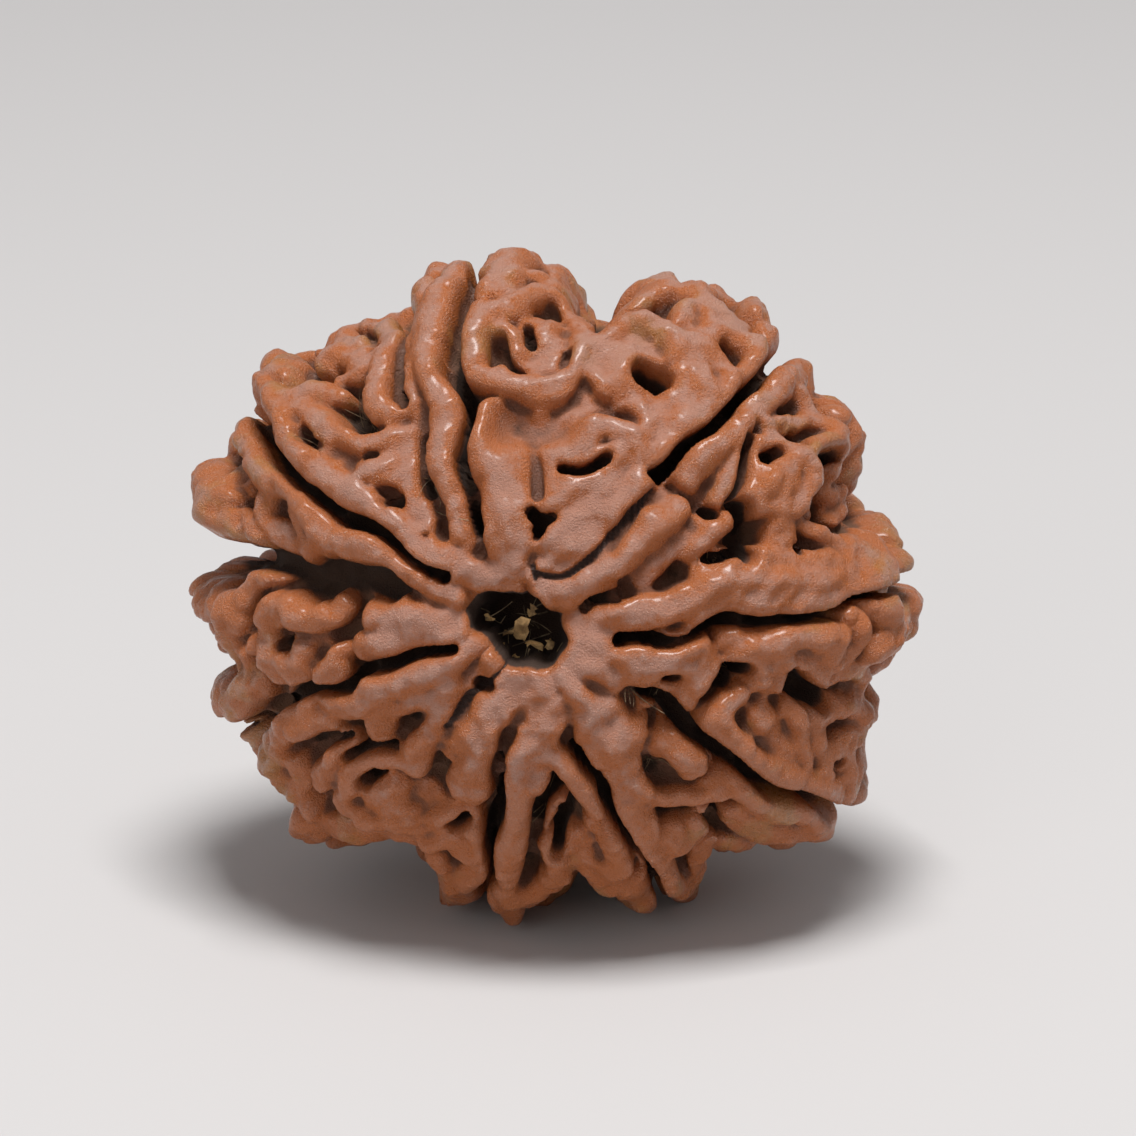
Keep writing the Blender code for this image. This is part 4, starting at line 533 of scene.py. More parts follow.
def rung(draw, a, b, out):
    """One winding rib across a face, or a finger that ends on the way."""
    stop = 1.0 if draw.random() < 0.6 else draw.uniform(0.5, 0.75)
    if draw.random() < 0.5:
        a, b = b, a
    bend = draw.uniform(-7, 7)
    route = []
    for k in range(6):
        share = k / 5 * stop
        lean = bend * math.sin(math.pi * share) + draw.uniform(-1.5, 1.5)
        route.append((a + (b - a) * (0.12 + 0.76 * share), out + lean, draw.uniform(0.15, 0.6)))
    return draw.uniform(0.9, 1.3), route


def face_ribs(draw, left, right):
    """Ribs of one face of the back, between two grooves."""
    made = []
    for groove, side in ((left, 1), (right, -1)):
        route = []
        for out in range(BACK_FROM + 4, BACK_TO, 9):
            inset = BANK_INSET + 0.5 * math.sin(math.radians(out)) + draw.uniform(-0.22, 0.22)
            where = groove_at(groove, out) + side * degrees_for(inset, out)
            route.append((where, out, draw.uniform(0.0, 0.35)))
        made.append((draw.uniform(1.25, 1.6), route))
    out = BACK_FROM + draw.uniform(2, 8)
    while out < BACK_TO - 22:
        a, b = groove_at(left, out), groove_at(right, out)
        if (b - a) * MM_A_DEGREE * math.sin(math.radians(out)) > LEAST_SPAN:
            made.append(rung(draw, a, b, out))
        out += draw.uniform(8, 14)
    if (right[0] - left[0]) > 30:
        middle = [(0.5 * (groove_at(left, o) + groove_at(right, o)) + draw.uniform(-4, 4), o,
                   draw.uniform(0.1, 0.6)) for o in range(BACK_FROM + 2, 140, 10)]
        made.append((draw.uniform(1.1, 1.5), middle))
    return made


def back_ribs():
    """The ribs of every face of the back."""
    draw = random.Random(SEED)
    made = []
    for i, left in enumerate(BACK_GROOVES):
        right = BACK_GROOVES[(i + 1) % len(BACK_GROOVES)]
        turn = 360 if right[0] < left[0] else 0
        made += face_ribs(draw, left, (right[0] + turn, right[1] + turn))
    return made


BACK_RIBS = back_ribs()
print(len(BACK_RIBS), "ribs on the back")

# %% [markdown]
# ## From routes to a height
#
# Every point of the skin has one height over the pumpkin. A rib adds a round rope at its route, and the
# highest rib wins, with the corner between two ribs eased so that they look grown together. A groove or pit
# takes the lower of the skin and its own bed. Soft noise keeps the ropes from looking drawn with a compass.

# %% Curves through the places of a route
def smooth_route(points):
    """A curve through the route's points, with five steps between each pair."""
    points = np.array(points, float)
    points[:, 0] = np.degrees(np.unwrap(np.radians(points[:, 0])))
    last = len(points) - 1
    made = []
    for i in range(last):
        before, here = points[max(i - 1, 0)], points[i]
        there, after = points[i + 1], points[min(i + 2, last)]
        for step in range(5):
            t = step / 5
            bend = 2 * before - 5 * here + 4 * there - after
            twist = 3 * here - before - 3 * there + after
            made.append(0.5 * (2 * here + (there - before) * t + bend * t * t + twist * t ** 3))
    made.append(points[-1])
    return np.array(made)

# %% [markdown]
# A rib matters only near its route, so the points within reach are picked first.

# %% Distance from a route
def on_crest(degrees_round, degrees_out):
    """The point of the plain pumpkin for two angles, in the bead's own axes."""
    a, p = np.radians(degrees_round), np.radians(degrees_out)
    return np.stack([HALF_WIDE * np.sin(p) * np.cos(a), HALF_HIGH * np.sin(p) * np.sin(a),
                     HALF_THICK * np.cos(p)], axis=-1)


def near_route(points, route, reach):
    """For the points near a route: which they are, how far away it is and the drop at its nearest place."""
    ends = on_crest(route[:, 0], route[:, 1])
    middle = ends.mean(axis=0)
    radius = np.linalg.norm(ends - middle, axis=1).max() + reach
    which = np.nonzero(((points - middle) ** 2).sum(axis=1) < radius ** 2)[0]
    near = points[which]
    best = np.full(len(which), 1e9)
    drop = np.zeros(len(which))
    for i in range(len(ends) - 1):
        along = ends[i + 1] - ends[i]
        share = np.clip((near - ends[i]) @ along / max(along @ along, 1e-9), 0, 1)
        far = np.linalg.norm(near - ends[i] - share[:, None] * along, axis=1)
        closer = far < best
        best = np.where(closer, far, best)
        drop = np.where(closer, route[i, 2] + (route[i + 1, 2] - route[i, 2]) * share, drop)
    return which, best, drop


print("the rim's top, mm:", on_crest(90, 90).round(2))

# %% [markdown]
# The routes were laid out as the camera sees them. A place deeper than the full pumpkin would be seen a
# little off, so it is moved along the line of sight.

# %% Sunken places and soft noise
LEAST_FACING = 0.15


def settled(route, sunk):
    """A route with its sunken places moved along the line of sight, so that each is seen where it was."""
    full = on_crest(route[:, 0], route[:, 1])
    normal = full / SIZES ** 2
    normal /= np.linalg.norm(normal, axis=1)[:, None]
    facing = np.maximum(normal @ SIGHT, 0)
    slide = sunk * facing / np.maximum(facing ** 2, LEAST_FACING)
    unit = (full - SIGHT * slide[:, None]) / (SIZES - sunk[:, None])
    unit /= np.linalg.norm(unit, axis=1)[:, None]
    placed = route.copy()
    placed[:, 0] = np.degrees(np.unwrap(np.arctan2(unit[:, 1], unit[:, 0])))
    placed[:, 1] = np.degrees(np.arccos(unit[:, 2]))
    return placed


def rim_of(route):
    """How far the rim lies inside the oval along a route."""
    return RIM_SHARE * rim_drop(on_crest(route[:, 0], route[:, 1]), route[:, 1])


def waves(points, scale, count, seed):
    """Soft noise between about -1 and 1: a sum of sine waves in seeded directions."""
    draw = np.random.RandomState(seed)
    total = np.zeros(len(points))
    for _ in range(count):
        way = draw.normal(size=3)
        way *= draw.uniform(0.6, 1.5) / (np.linalg.norm(way) * scale)
        total += np.sin(points @ way * 2 * math.pi + draw.uniform(0, 6.28))
    return total / math.sqrt(count)

# %% [markdown]
# A rope is round on top and then falls steeply, as a real rib's flank does. Wider ropes have flatter tops.

# %% Profiles of a rib, a floor and a cut
FLOOR_DROP, FLOOR_DROP_AT_POLE = 1.8, 1.2
POLE_FLAT, POLE_EASE = 8, 15
TALLEST_ROUND = 0.75
FLANK_SLOPE, FLANK_FROM = 4.2, 0.93
CUT_BLEND = 8.0


def rope_fall(far, radius, power):
    """How far a rope has fallen at a distance from its middle line. A higher power has a flatter top."""
    share = np.minimum(far / radius, FLANK_FROM)
    round_part = np.minimum(radius, TALLEST_ROUND) * (1 - (1 - share ** power) ** (1 / power))
    return round_part + FLANK_SLOPE * np.maximum(far - FLANK_FROM * radius, 0)


def floor_level(points, out):
    """The level between the ribs: shallow beside both holes, deep over the rest."""
    ease = np.clip((90 - np.abs(out - 90) - POLE_FLAT) / POLE_EASE, 0, 1)
    ease = ease * ease * (3 - 2 * ease)
    level = -FLOOR_DROP_AT_POLE - (FLOOR_DROP - FLOOR_DROP_AT_POLE) * ease
    return level + 0.22 * waves(points, 2.6, 9, SEED + 1) + 0.12 * waves(points, 1.2, 11, SEED + 2)


def lower_of(level, bed):
    """The lower of two levels, with the corner between them eased."""
    return -np.logaddexp(-CUT_BLEND * level, -CUT_BLEND * bed) / CUT_BLEND

# %% [markdown]
# Ribs are summed as steep exponentials, so that the highest one wins and two that meet flow together. Each
# cut then takes the lower of the skin and its own round bed.

# %% Ribs and cuts as levels
RIB_SHARE = 0.84
BLEND = 14.0
WOBBLE = 0.14
FALL_REACH = 1.4
FLATTER, FLATTER_FROM = 0.3, 1.3
NARROWEST_CUT = 0.2
CUT_SUNK, CUT_RISE, CUT_REACH = 0.4, 1.1, 1.0
DEEP_CUT = 2.5
BACK_GROOVE = (0.6, 3.0)


def all_cuts():
    """Every groove and pit: full width, depth and route."""
    made = list(GROOVES.values()) + list(PITS.values())
    for groove in BACK_GROOVES:
        route = [(groove_at(groove, out), out) for out in range(BACK_FROM - 3, BACK_TO - 4, 6)]
        made.append((*BACK_GROOVE, route))
    return made


def cut_route(places):
    """The curve of a cut, placed as the camera sees it."""
    route = smooth_route([(*place, 0.0) for place in places])
    return settled(route, CUT_SUNK + rim_of(route))


def rib_level(points, out):
    """The skin before any groove is cut."""
    shift = np.stack([waves(points, 3.1, 7, SEED + k) for k in (11, 12, 13)], axis=1)
    asked = points + WOBBLE * shift
    swell = 1 + 0.10 * waves(points, 1.9, 9, SEED + 21) + 0.05 * waves(points, 0.8, 11, SEED + 22)
    total = np.exp(BLEND * floor_level(points, out))
    for width, route in list(RIDGES.values()) + BACK_RIBS:
        route = smooth_route(route)
        route = settled(route, np.maximum(route[:, 2], 0) + rim_of(route))
        width *= RIB_SHARE
        which, far, drop = near_route(asked, route, 0.5 * width + FALL_REACH)
        radius = 0.5 * width * swell[which]
        power = 2 + FLATTER * max(0, width - FLATTER_FROM)
        total[which] += np.exp(BLEND * (-drop - rope_fall(far, radius, power)))
    return asked, np.log(total) / BLEND


def cut_level(asked, level):
    """The skin with its grooves and pits cut in."""
    level, inside = level.copy(), np.zeros(len(level))
    for width, depth, route in all_cuts():
        half = 0.5 * max(width, NARROWEST_CUT)
        which, far, _ = near_route(asked, cut_route(route), half + CUT_REACH)
        bed = -depth + CUT_RISE * depth * (far / half) ** 2
        level[which] = lower_of(level[which], bed)
        inside[which] = np.maximum(inside[which], np.clip(1.1 - far / half, 0, 1) * min(1, depth / DEEP_CUT))
    return level, inside


print(len(all_cuts()), "grooves and pits in all")

# %% [markdown]
# A crack is thinner than the mesh can hold as a black line. It is cut shallow, and a wider mark lets the
# finish draw the line itself.

# %% Cracks
CRACK_MARK = 0.2


def cracked(points, level):
    """The skin with its fine cracks, and how close every point is to one, from 0 to 1."""
    level, close = level.copy(), np.zeros(len(points))
    for width, depth, route in CRACKS.values():
        which, far, _ = near_route(points, cut_route(route), 0.5)
        level[which] -= depth * np.exp(-(2 * far / width) ** 2)
        close[which] = np.maximum(close[which], np.exp(-(far / CRACK_MARK) ** 2))
    return level, close

# %% [markdown]
# The front hole isn't round: a table gives how many degrees from the axis its edge lies. It is blind, as the
# photograph shows it plugged. The back hole is round.

# %% The height of the skin
HOLE_RIM = [(0, 6.4), (23, 6.2), (60, 5.2), (88, 7.0), (100, 6.6), (120, 7.6), (147, 10.2), (165, 10.4),
            (178, 9.4), (188, 7.4), (207, 6.6), (236, 7.2), (270, 7.3), (309, 7.6), (342, 6.9)]
HOLE_DROP, HOLE_STEEP = 4.4, 6
BACK_HOLE_EDGE, BACK_HOLE_DROP = 5.6, 3.6
WALL_LIP, WALL_FADE = 0.5, 1.3


def hole_bed(out, edge, depth):
    """A round-bottomed hole about an end of the axis."""
    return -depth + depth * (out / edge) ** HOLE_STEEP


def height(points, out):
    """How far the skin stands above the plain pumpkin, in mm, and how far inside a cut each point is."""
    around = np.degrees(np.arctan2(points[:, 1], points[:, 0]))
    edge = np.interp(around, [d for d, _ in HOLE_RIM], [m for _, m in HOLE_RIM], period=360)
    edge += 0.5 * waves(points, 0.9, 7, SEED + 41)
    asked, level = rib_level(points, out)
    level += 0.10 * waves(points, 2.0, 9, SEED + 31) + 0.06 * waves(points, 0.9, 13, SEED + 32)
    level += 0.035 * waves(points, 0.5, 15, SEED + 33)
    level, inside = cut_level(asked, level)
    level = level - RIM_SHARE * rim_drop(asked, out)
    level = lower_of(level, hole_bed(out, edge, HOLE_DROP))
    inside = np.maximum(inside, np.clip(WALL_FADE * (edge + WALL_LIP - out), 0, 1))
    return lower_of(level, hole_bed(180 - out, BACK_HOLE_EDGE, BACK_HOLE_DROP)), inside

# %% [markdown]
# ## The skin
#
# One fine ball of triangles is moved to that height. A ball has no seam and no pole where triangles crowd,
# so the detail is even all over. Real ribs lean out over their grooves. A pure height can't do that, so the
# flanks are then pushed: the upper part outwards and the lower part inwards, which makes the dark undercuts.
# At the end the mesh is thinned where it is nearly flat, and the lowest tips are cut off level, where the
# bead stands.

# %% Slopes and blurs over a mesh
def edge_ends(mesh):
    """The two vertex numbers of every edge, as two arrays."""
    pairs = np.array([(e.verts[0].index, e.verts[1].index) for e in mesh.edges])
    return pairs[:, 0], pairs[:, 1]


def edge_mean(at_a, at_b, ends, size):
    """Each vertex's mean of what its edges give to their two ends."""
    a, b = ends
    count = np.bincount(a, minlength=size) + np.bincount(b, minlength=size)
    return (np.bincount(a, at_a, size) + np.bincount(b, at_b, size)) / count


def soften(values, ends, rounds):
    """Values blurred over the mesh."""
    a, b = ends
    for _ in range(rounds):
        values = 0.5 * values + 0.5 * edge_mean(values[b], values[a], ends, len(values))
    return values


def uphill(points, level, ends):
    """The direction and steepness in which the height rises, at every vertex."""
    a, b = ends
    along = points[b] - points[a]
    rise = (level[b] - level[a]) / (along ** 2).sum(axis=1)
    push = along * rise[:, None]
    return 2 * np.stack([edge_mean(push[:, k], push[:, k], ends, len(level)) for k in range(3)], axis=1)

# %% [markdown]
# The pass that raises the ball also measures seven marks at each point, which the finish will ask for.

# %% Raise the ball and lean the flanks
SPHERE_LEVEL = 8
WIDE_BLUR, NARROW_BLUR = ((60, 8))
LEAN_OUT, LEAN_IN = 0.08, 0.16
LEAN_RELIEF, LEAN_SLOPE = 0.5, 1.5
NEAR_HOLE = 34


def raised_ball():
    """The ball before and after it is raised, in the bead's own mm, and the marks of every point."""
    mesh = bmesh.new()
    bmesh.ops.create_icosphere(mesh, subdivisions=SPHERE_LEVEL, radius=1.0)
    mesh.verts.index_update()
    ways = np.array([v.co for v in mesh.verts])
    ways /= np.linalg.norm(ways, axis=1)[:, None]
    points = ways * SIZES
    out = np.degrees(np.arccos(np.clip(ways[:, 2], -1, 1)))
    normals = points / SIZES ** 2
    normals /= np.linalg.norm(normals, axis=1)[:, None]
    ends = edge_ends(mesh)
    level, inside = height(points, out)
    level, crack = cracked(points, soften(level, ends, 1))
    around, beside = soften(level, ends, WIDE_BLUR), soften(level, ends, NARROW_BLUR)
    slope = uphill(points, level, ends)
    steep = np.linalg.norm(slope, axis=1)
    way = slope / np.maximum(steep, 1e-6)[:, None]
    lean = np.clip((level - around) / LEAN_RELIEF, -1, 1) * np.clip(steep / LEAN_SLOPE, 0, 1)
    lean = np.where(lean > 0, lean * LEAN_OUT, lean * LEAN_IN)
    moved = points + normals * level[:, None] - way * lean[:, None]
    marks = {"depth": -level, "relief": level - around, "crest": soften(level - beside, ends, 2),
             "steep": soften(np.clip(steep / 2, 0, 1), ends, 3), "crack": crack, "inside": inside,
             "near_hole": np.exp(-(out / NEAR_HOLE) ** 2)}
    return mesh, points, moved, marks


mesh, full_points, skin, marks = raised_ball()
print(len(skin), "points, heights from", -marks["depth"].max().round(2), "to", -marks["depth"].min().round(2))

# %% Stand it, thin it and cut the foot level
MOST_TRIANGLES = 196000


def as_object(mesh, name):
    """A linked object from a bmesh, which is then freed."""
    data = bpy.data.meshes.new(name)
    mesh.to_mesh(data)
    mesh.free()
    made = bpy.data.objects.new(name, data)
    bpy.context.scene.collection.objects.link(made)
    return made


def thinned(rough, triangles):
    """The mesh of an object with fewer triangles. The object is removed."""
    change = rough.modifiers.new("fewer", "DECIMATE")
    change.ratio = min(1, triangles / len(rough.data.polygons))
    graph = bpy.context.evaluated_depsgraph_get()
    mesh = bmesh.new()
    mesh.from_object(rough, graph)
    bpy.data.objects.remove(rough, do_unlink=True)
    return mesh


def cut_foot(mesh):
    """Cuts off what lies below the ground and closes the cut."""
    parts = mesh.verts[:] + mesh.edges[:] + mesh.faces[:]
    bmesh.ops.bisect_plane(mesh, geom=parts, plane_co=(0, 0, 0), plane_no=(0, 0, -1), clear_outer=True,
                           dist=1e-8)
    bmesh.ops.holes_fill(mesh, edges=[e for e in mesh.edges if e.is_boundary], sides=0)
    bmesh.ops.triangulate(mesh, faces=mesh.faces[:])


in_room = into_room(skin)
for vert, place in zip(mesh.verts, in_room):
    vert.co = place
fine = thinned(as_object(mesh, "bead_rough"), MOST_TRIANGLES)
cut_foot(fine)
for face in fine.faces:
    face.smooth = True
bead = as_object(fine, "bead_skin")
print(len(bead.data.polygons), "triangles in the skin")

# %% [markdown]
# ## What the finish needs to know
#
# Colour on the stone follows the relief: crests are rubbed and dusty pink, partly as a painted sheen of the
# light from above, flanks are orange brown, what lies low is painted a shaded brown, floors hold grey dust,
# and grooves are painted nearly black as shade. For that, the skin keeps the seven marks at each vertex. They
# are looked up after the thinning, at the nearest point of the full mesh.

# %% Store the marks on the skin
def store(made, name, values):
    """A number at each vertex, under a name that a material can read."""
    field = made.data.attributes.new(name, "FLOAT", "POINT")
    field.data.foreach_set("value", np.asarray(values, np.float32))


tree = kdtree.KDTree(len(in_room))
for i, place in enumerate(in_room):
    tree.insert(place, i)
tree.balance()
nearest = np.array([tree.find(v.co)[1] for v in bead.data.vertices])
for name, values in marks.items():
    store(bead, name, values[nearest])
    print(name, "from", round(float(values.min()), 2), "to", round(float(values.max()), 2))

# %% [markdown]
# ## Writing materials as sums
#
# A material is a graph of nodes. Drawn by hand it is easy to follow, but in a script plain sums read better.
# The small class below wraps a number that comes out of a node, so that one times another adds the right
# node.

# %% Sums of nodes
class Wire:
    """A number coming out of a node, for use in sums."""

    def __init__(self, tree, socket):
        self.tree, self.socket = tree, socket

    def maths(self, operation, first, second):
        """A node that works out one sum."""
        node = self.tree.nodes.new("ShaderNodeMath")
        node.operation = operation
        for slot, value in zip(node.inputs, (first, second)):
            plug(self.tree, slot, value)
        return Wire(self.tree, node.outputs[0])

    def __add__(self, other):
        return self.maths("ADD", self, other)

    def __sub__(self, other):
        return self.maths("SUBTRACT", self, other)

    def __rsub__(self, other):
        return self.maths("SUBTRACT", other, self)

    def __mul__(self, other):
        return self.maths("MULTIPLY", self, other)

    __radd__, __rmul__ = __add__, __mul__

    def above(self, low, high):
        """0 below low, 1 above high and an eased slope between them."""
        node = self.tree.nodes.new("ShaderNodeMapRange")
        node.interpolation_type = "SMOOTHSTEP"
        for slot, value in zip(node.inputs[:3], (self, low, high)):
            plug(self.tree, slot, value)
        return Wire(self.tree, node.outputs[0])


def plug(tree, slot, value):
    """Sets a socket, or joins it to a wire."""
    if isinstance(value, Wire):
        tree.links.new(value.socket, slot)
    else:
        slot.default_value = value

# %% [markdown]
# A finish is one material. Its one method for nodes takes any kind, with sockets by name or by number.

# %% A material and its nodes
class Finish:
    """A material with its shader, and one method that adds any node."""

    def __init__(self, name):
        self.material = bpy.data.materials.new(name)
        self.material.use_nodes = True
        self.tree = self.material.node_tree
        self.shader = self.tree.nodes["Principled BSDF"]

    def add(self, kind, settings=None, out=0, **sockets):
        """A node of a kind, its settings first, then its sockets by name or by number."""
        node = self.tree.nodes.new(kind)
        for key, value in (settings or {}).items():
            setattr(node, key, value)
        for key, value in sockets.items():
            plug(self.tree, node.inputs[int(key[1:]) if key[1:].isdigit() else key], value)
        return Wire(self.tree, node.outputs[out])

    def place(self):
        """Where a point is on the object, in millimetres."""
        spot = self.add("ShaderNodeTexCoord", out=3)
        return self.add("ShaderNodeMapping", n0=spot, Scale=(1 / MM, 1 / MM, 1 / MM))

    def mix(self, factor, first, second):
        """A colour between two others."""
        return self.add("ShaderNodeMix", {"data_type": "RGBA"}, out=2, n0=factor, n6=first, n7=second)

    def noise(self, where, scale, detail=3.0, rough=0.55):
        """Soft noise from 0 to 1 at so many cells a millimetre."""
        return self.add("ShaderNodeTexNoise", n0=where, Scale=scale, Detail=detail, Roughness=rough)

    def number(self, name):
        """A number that the mesh carries."""
        return self.add("ShaderNodeAttribute", {"attribute_name": name}, out=2)

    def set(self, **sockets):
        """Sets or joins sockets of the shader, with underscores for spaces."""
        for key, value in sockets.items():
            plug(self.tree, self.shader.inputs[key.replace("_", " ")], value)


sample = Finish("sample")
print("the shader has", len(sample.shader.inputs), "sockets")
bpy.data.materials.remove(sample.material)

# %% [markdown]
# ## The stone's finish
#
# Handled stones are orange brown on the flanks, with a dry pinkish bloom on crests that face up or lie near
# the hole; on what faces up it is partly a painted sheen of the light from above. Where the skin lies low it
# is painted a shaded brown. Floors between ribs hold pale grey-brown dust. Inside the grooves almost no light
# is left, and the colour there is a painted shade, nearly black. Fine grain, and a few specks painted as
# glints, keep the crests from looking like plastic.

# %% Colours of the stone
ORANGE = (0.435, 0.121, 0.028, 1)
# Painted shade: the brown of what lies low and of the creases.
SHADE_BROWN = (0.165, 0.058, 0.026, 1)
# Partly dust, partly a painted sheen of the light from above.
BLOOM_AND_SHEEN = (0.435, 0.210, 0.146, 1)
# A painted reflection of yellow light.
OCHRE_REFLECTION = (0.380, 0.185, 0.045, 1)
DUST = (0.165, 0.088, 0.047, 1)
# Painted shade of the grooves and the hole.
DEEP_SHADE = (0.052, 0.024, 0.012, 1)
CRACK = (0.045, 0.016, 0.008, 1)
# Painted highlights.
GLINT_HIGHLIGHT = (0.90, 0.74, 0.62, 1)


def stone_finish():
    """The woody shell, from crest to groove."""
    stone = Finish("seed_shell")
    where = stone.place()
    facing = stone.add("ShaderNodeNewGeometry", out=1)
    upward = stone.add("ShaderNodeSeparateXYZ", out=2, n0=facing)
    depth, relief, crest, steep, crack, inside, near_hole = [stone.number(name) for name in marks]
    broad = stone.noise(where, 0.45, 4.0, 0.6)
    grain = stone.noise(where, 4.0, 5.0, 0.65)
    fine_grain = stone.noise(where, 14.0, 3.0, 0.65)
    # Painted shade: brown where the skin lies low, orange above.
    low = (relief + (broad - 0.5) * 0.3 + crest * 2).above(-0.6, 0.0)
    shade = stone.mix(low, SHADE_BROWN, ORANGE)
    # Broad ochre patches are a painted reflection of yellow light.
    ochre_reflection = (broad - near_hole * 0.5).above(0.50, 0.66)
    shade = stone.mix(ochre_reflection * low * 0.5, shade, OCHRE_REFLECTION)
    # A pinkish bloom on what is flat, faces up or lies near the hole: partly dust, partly a painted sheen
    # of the light from above.
    bloom_and_sheen = near_hole * 0.45 + upward * 0.5 - steep * 1.5 + (grain - 0.5) * 0.8 + (broad - 0.5) * 1.4
    bloom_and_sheen = bloom_and_sheen.above(-0.30, 0.30)
    shade = stone.mix(bloom_and_sheen * low * 0.85, shade, BLOOM_AND_SHEEN)
    # Painted shade in the creases, dust on the floors, painted shade in the grooves and the thin line of a
    # crack.
    crease_shade = (crest * -1 + (grain - 0.5) * 0.04).above(0.02, 0.09)
    shade = stone.mix(crease_shade * 0.6, shade, SHADE_BROWN)
    dusty = (depth + (grain - 0.5) * 0.7 + (broad - 0.5) * 0.6).above(1.2, 1.9)
    floor = dusty * (1 - relief.above(-0.4, 0.05))
    shade = stone.mix(floor * 0.6, shade, DUST)
    # Painted shade: nearly black in narrow, deep grooves and in the hole.
    narrow = 1 - relief.above(-1.1, -0.7)
    deep_shade = (depth + narrow * 1.6 + inside * 3.0 + (grain - 0.5) * 0.5).above(2.3, 3.2)
    shade = stone.mix(deep_shade, shade, DEEP_SHADE)
    shade = stone.mix(crack.above(0.70, 0.94), shade, CRACK)
    # Small painted highlights as glints, a patchy gloss on the crests, and a fine grain all over.
    speck = stone.noise(where, 15.0, 4.0, 0.7).above(0.54, 0.72)
    glint_highlight = speck * (crest * 5 + upward * 0.35 + (broad - 0.5)).above(0.05, 0.5) * (1 - deep_shade)
    shade = stone.mix(glint_highlight * 0.32, shade, GLINT_HIGHLIGHT)
    coat = (crest * 6 + (grain - 0.5) * 1.6 + (broad - 0.5)).above(0.05, 0.6) * (1 - floor) * (1 - deep_shade)
    rough = 0.31 + floor * 0.5 + crease_shade * 0.15 + deep_shade * 0.45 + (grain - 0.5) * 0.40
    rough = rough + bloom_and_sheen * 0.05 - glint_highlight * 0.12
    bumps = grain * 0.2 + fine_grain * 0.8
    normal = stone.add("ShaderNodeBump", Strength=0.9, Distance=0.00016, Height=bumps)
    stone.set(Base_Color=shade, Roughness=rough, Normal=normal, Coat_Weight=coat * 0.45, Coat_Roughness=0.24,
              Specular_IOR_Level=0.65)
    return stone.material


bead.data.materials.clear()
bead.data.materials.append(stone_finish())
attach(bead, "root")
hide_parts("bead")
print("finish on", bead.name)

# %% [markdown]
# ## Dry fibres and chips
#
# The stone's hole and its deepest pits still hold dry remains of the fruit: flat tan chips and fine threads.
# A thread is a thin cone that is cut across into short lengths, and then bent. They are joined into one
# piece, so that the bead doesn't become hundreds of objects. Chips are listed one by one, and threads laid
# by a seeded draw.

# %% Threads in the hole and the pits
THREAD_SPOTS = [(0.0, -0.3, 5.9, 1.3, 12), (0.3, -1.1, 6.5, 0.5, 6), (-1.5, 0.0, 6.4, 0.5, 4)]
PIT_SPOTS = {"green_pit": 26, "small_green_pit": 9, "fibre_pool": 26, "thorn_pit": 10, "fan_pit_lower": 12,
             "south_pool": 12, "tide_pool": 12, "pool_arm": 10, "east_pool": 12, "long_valley": 6}
LENGTHS = 0.4, 1.1


def straight_thread():
    """One thread as a thin cone, a unit long and cut across in five."""
    mesh = bmesh.new()
    bmesh.ops.create_cone(mesh, cap_ends=True, segments=4, radius1=1, radius2=0.4, depth=1)
    sides = [e for e in mesh.edges if abs(e.verts[0].co.z - e.verts[1].co.z) > 0.5]
    bmesh.ops.subdivide_edges(mesh, edges=sides, cuts=4)
    data = bpy.data.meshes.new("straight_thread")
    mesh.to_mesh(data)
    mesh.free()
    return data


straight = straight_thread()


def thread(mesh, start, way, bend, length, thick):
    """Adds one thread, laid along a bent line."""
    first = len(mesh.verts)
    mesh.from_mesh(straight)
    mesh.verts.ensure_lookup_table()
    turn = way.to_track_quat("Z", "Y").to_matrix()
    for vert in mesh.verts[first:]:
        share = vert.co.z + 0.5
        across = turn @ Vector((vert.co.x, vert.co.y, 0))
        vert.co = start + way * (length * share) + bend * (length * share * share) + across * thick


def any_way(draw, flat):
    """A seeded direction, flattened towards the plane across the hole."""
    way = Vector((draw.uniform(-1, 1), draw.uniform(-1, 1), draw.uniform(-0.2, 1) * flat))
    return way.normalized()


def skin_at(spot, reach):
    """The lowest point of the skin near a place of the plain pumpkin, in the bead's own millimetres."""
    full = on_crest(*spot)
    near = np.nonzero(((full_points - full) ** 2).sum(axis=1) < reach ** 2)[0]
    return Vector(skin[near[np.argmax(marks["depth"][near])]]), Vector(full).normalized()


def all_threads():
    """The threads of the hole and of the pits as one mesh."""
    draw = random.Random(SEED + 5)
    mesh = bmesh.new()
    for x, y, z, reach, count in THREAD_SPOTS:
        for _ in range(count):
            way, far = any_way(draw, 0.5), draw.uniform(0, reach)
            turn = draw.uniform(0, 2 * math.pi)
            start = Vector((x + far * math.cos(turn), y + far * math.sin(turn), z + draw.uniform(-0.5, 0.4)))
            bend = any_way(draw, 0.5) * 0.5
            thread(mesh, start, way, bend, draw.uniform(*LENGTHS), draw.uniform(0.012, 0.035))
    for name, count in PIT_SPOTS.items():
        width, _, route = PITS[name]
        for _ in range(count):
            spot = route[draw.randrange(len(route))]
            floor, outwards = skin_at(spot, 0.5 * width)
            start = floor + any_way(draw, 0.3) * 0.3 * width
            way = (any_way(draw, 1) + outwards * draw.uniform(0.2, 1.2)).normalized()
            bend = any_way(draw, 1) * 0.8
            thread(mesh, start, way, bend, draw.uniform(*LENGTHS), draw.uniform(0.014, 0.028))
    return mesh


threads = all_threads()
print(len(threads.faces), "faces in the threads")

# %% Tan chips in the hole
CHIPS = [(-0.28, -0.15, 7.1, 0.46, 1.15, -20), (-1.04, -0.85, 6.9, 0.50, 0.28, 10),
         (0.30, -1.50, 7.2, 0.80, 0.44, -35), (-0.60, -1.25, 6.8, 0.40, 0.24, 40),
         (0.62, -0.75, 6.6, 0.40, 0.24, 80), (0.05, 0.45, 6.8, 0.22, 0.50, -30),
         (-1.45, 0.15, 6.8, 0.30, 0.18, -20), (0.10, -0.75, 6.7, 0.62, 0.26, -15),
         (-0.75, -0.35, 6.6, 0.50, 0.16, 25)]
CHIP_THICK = 0.05


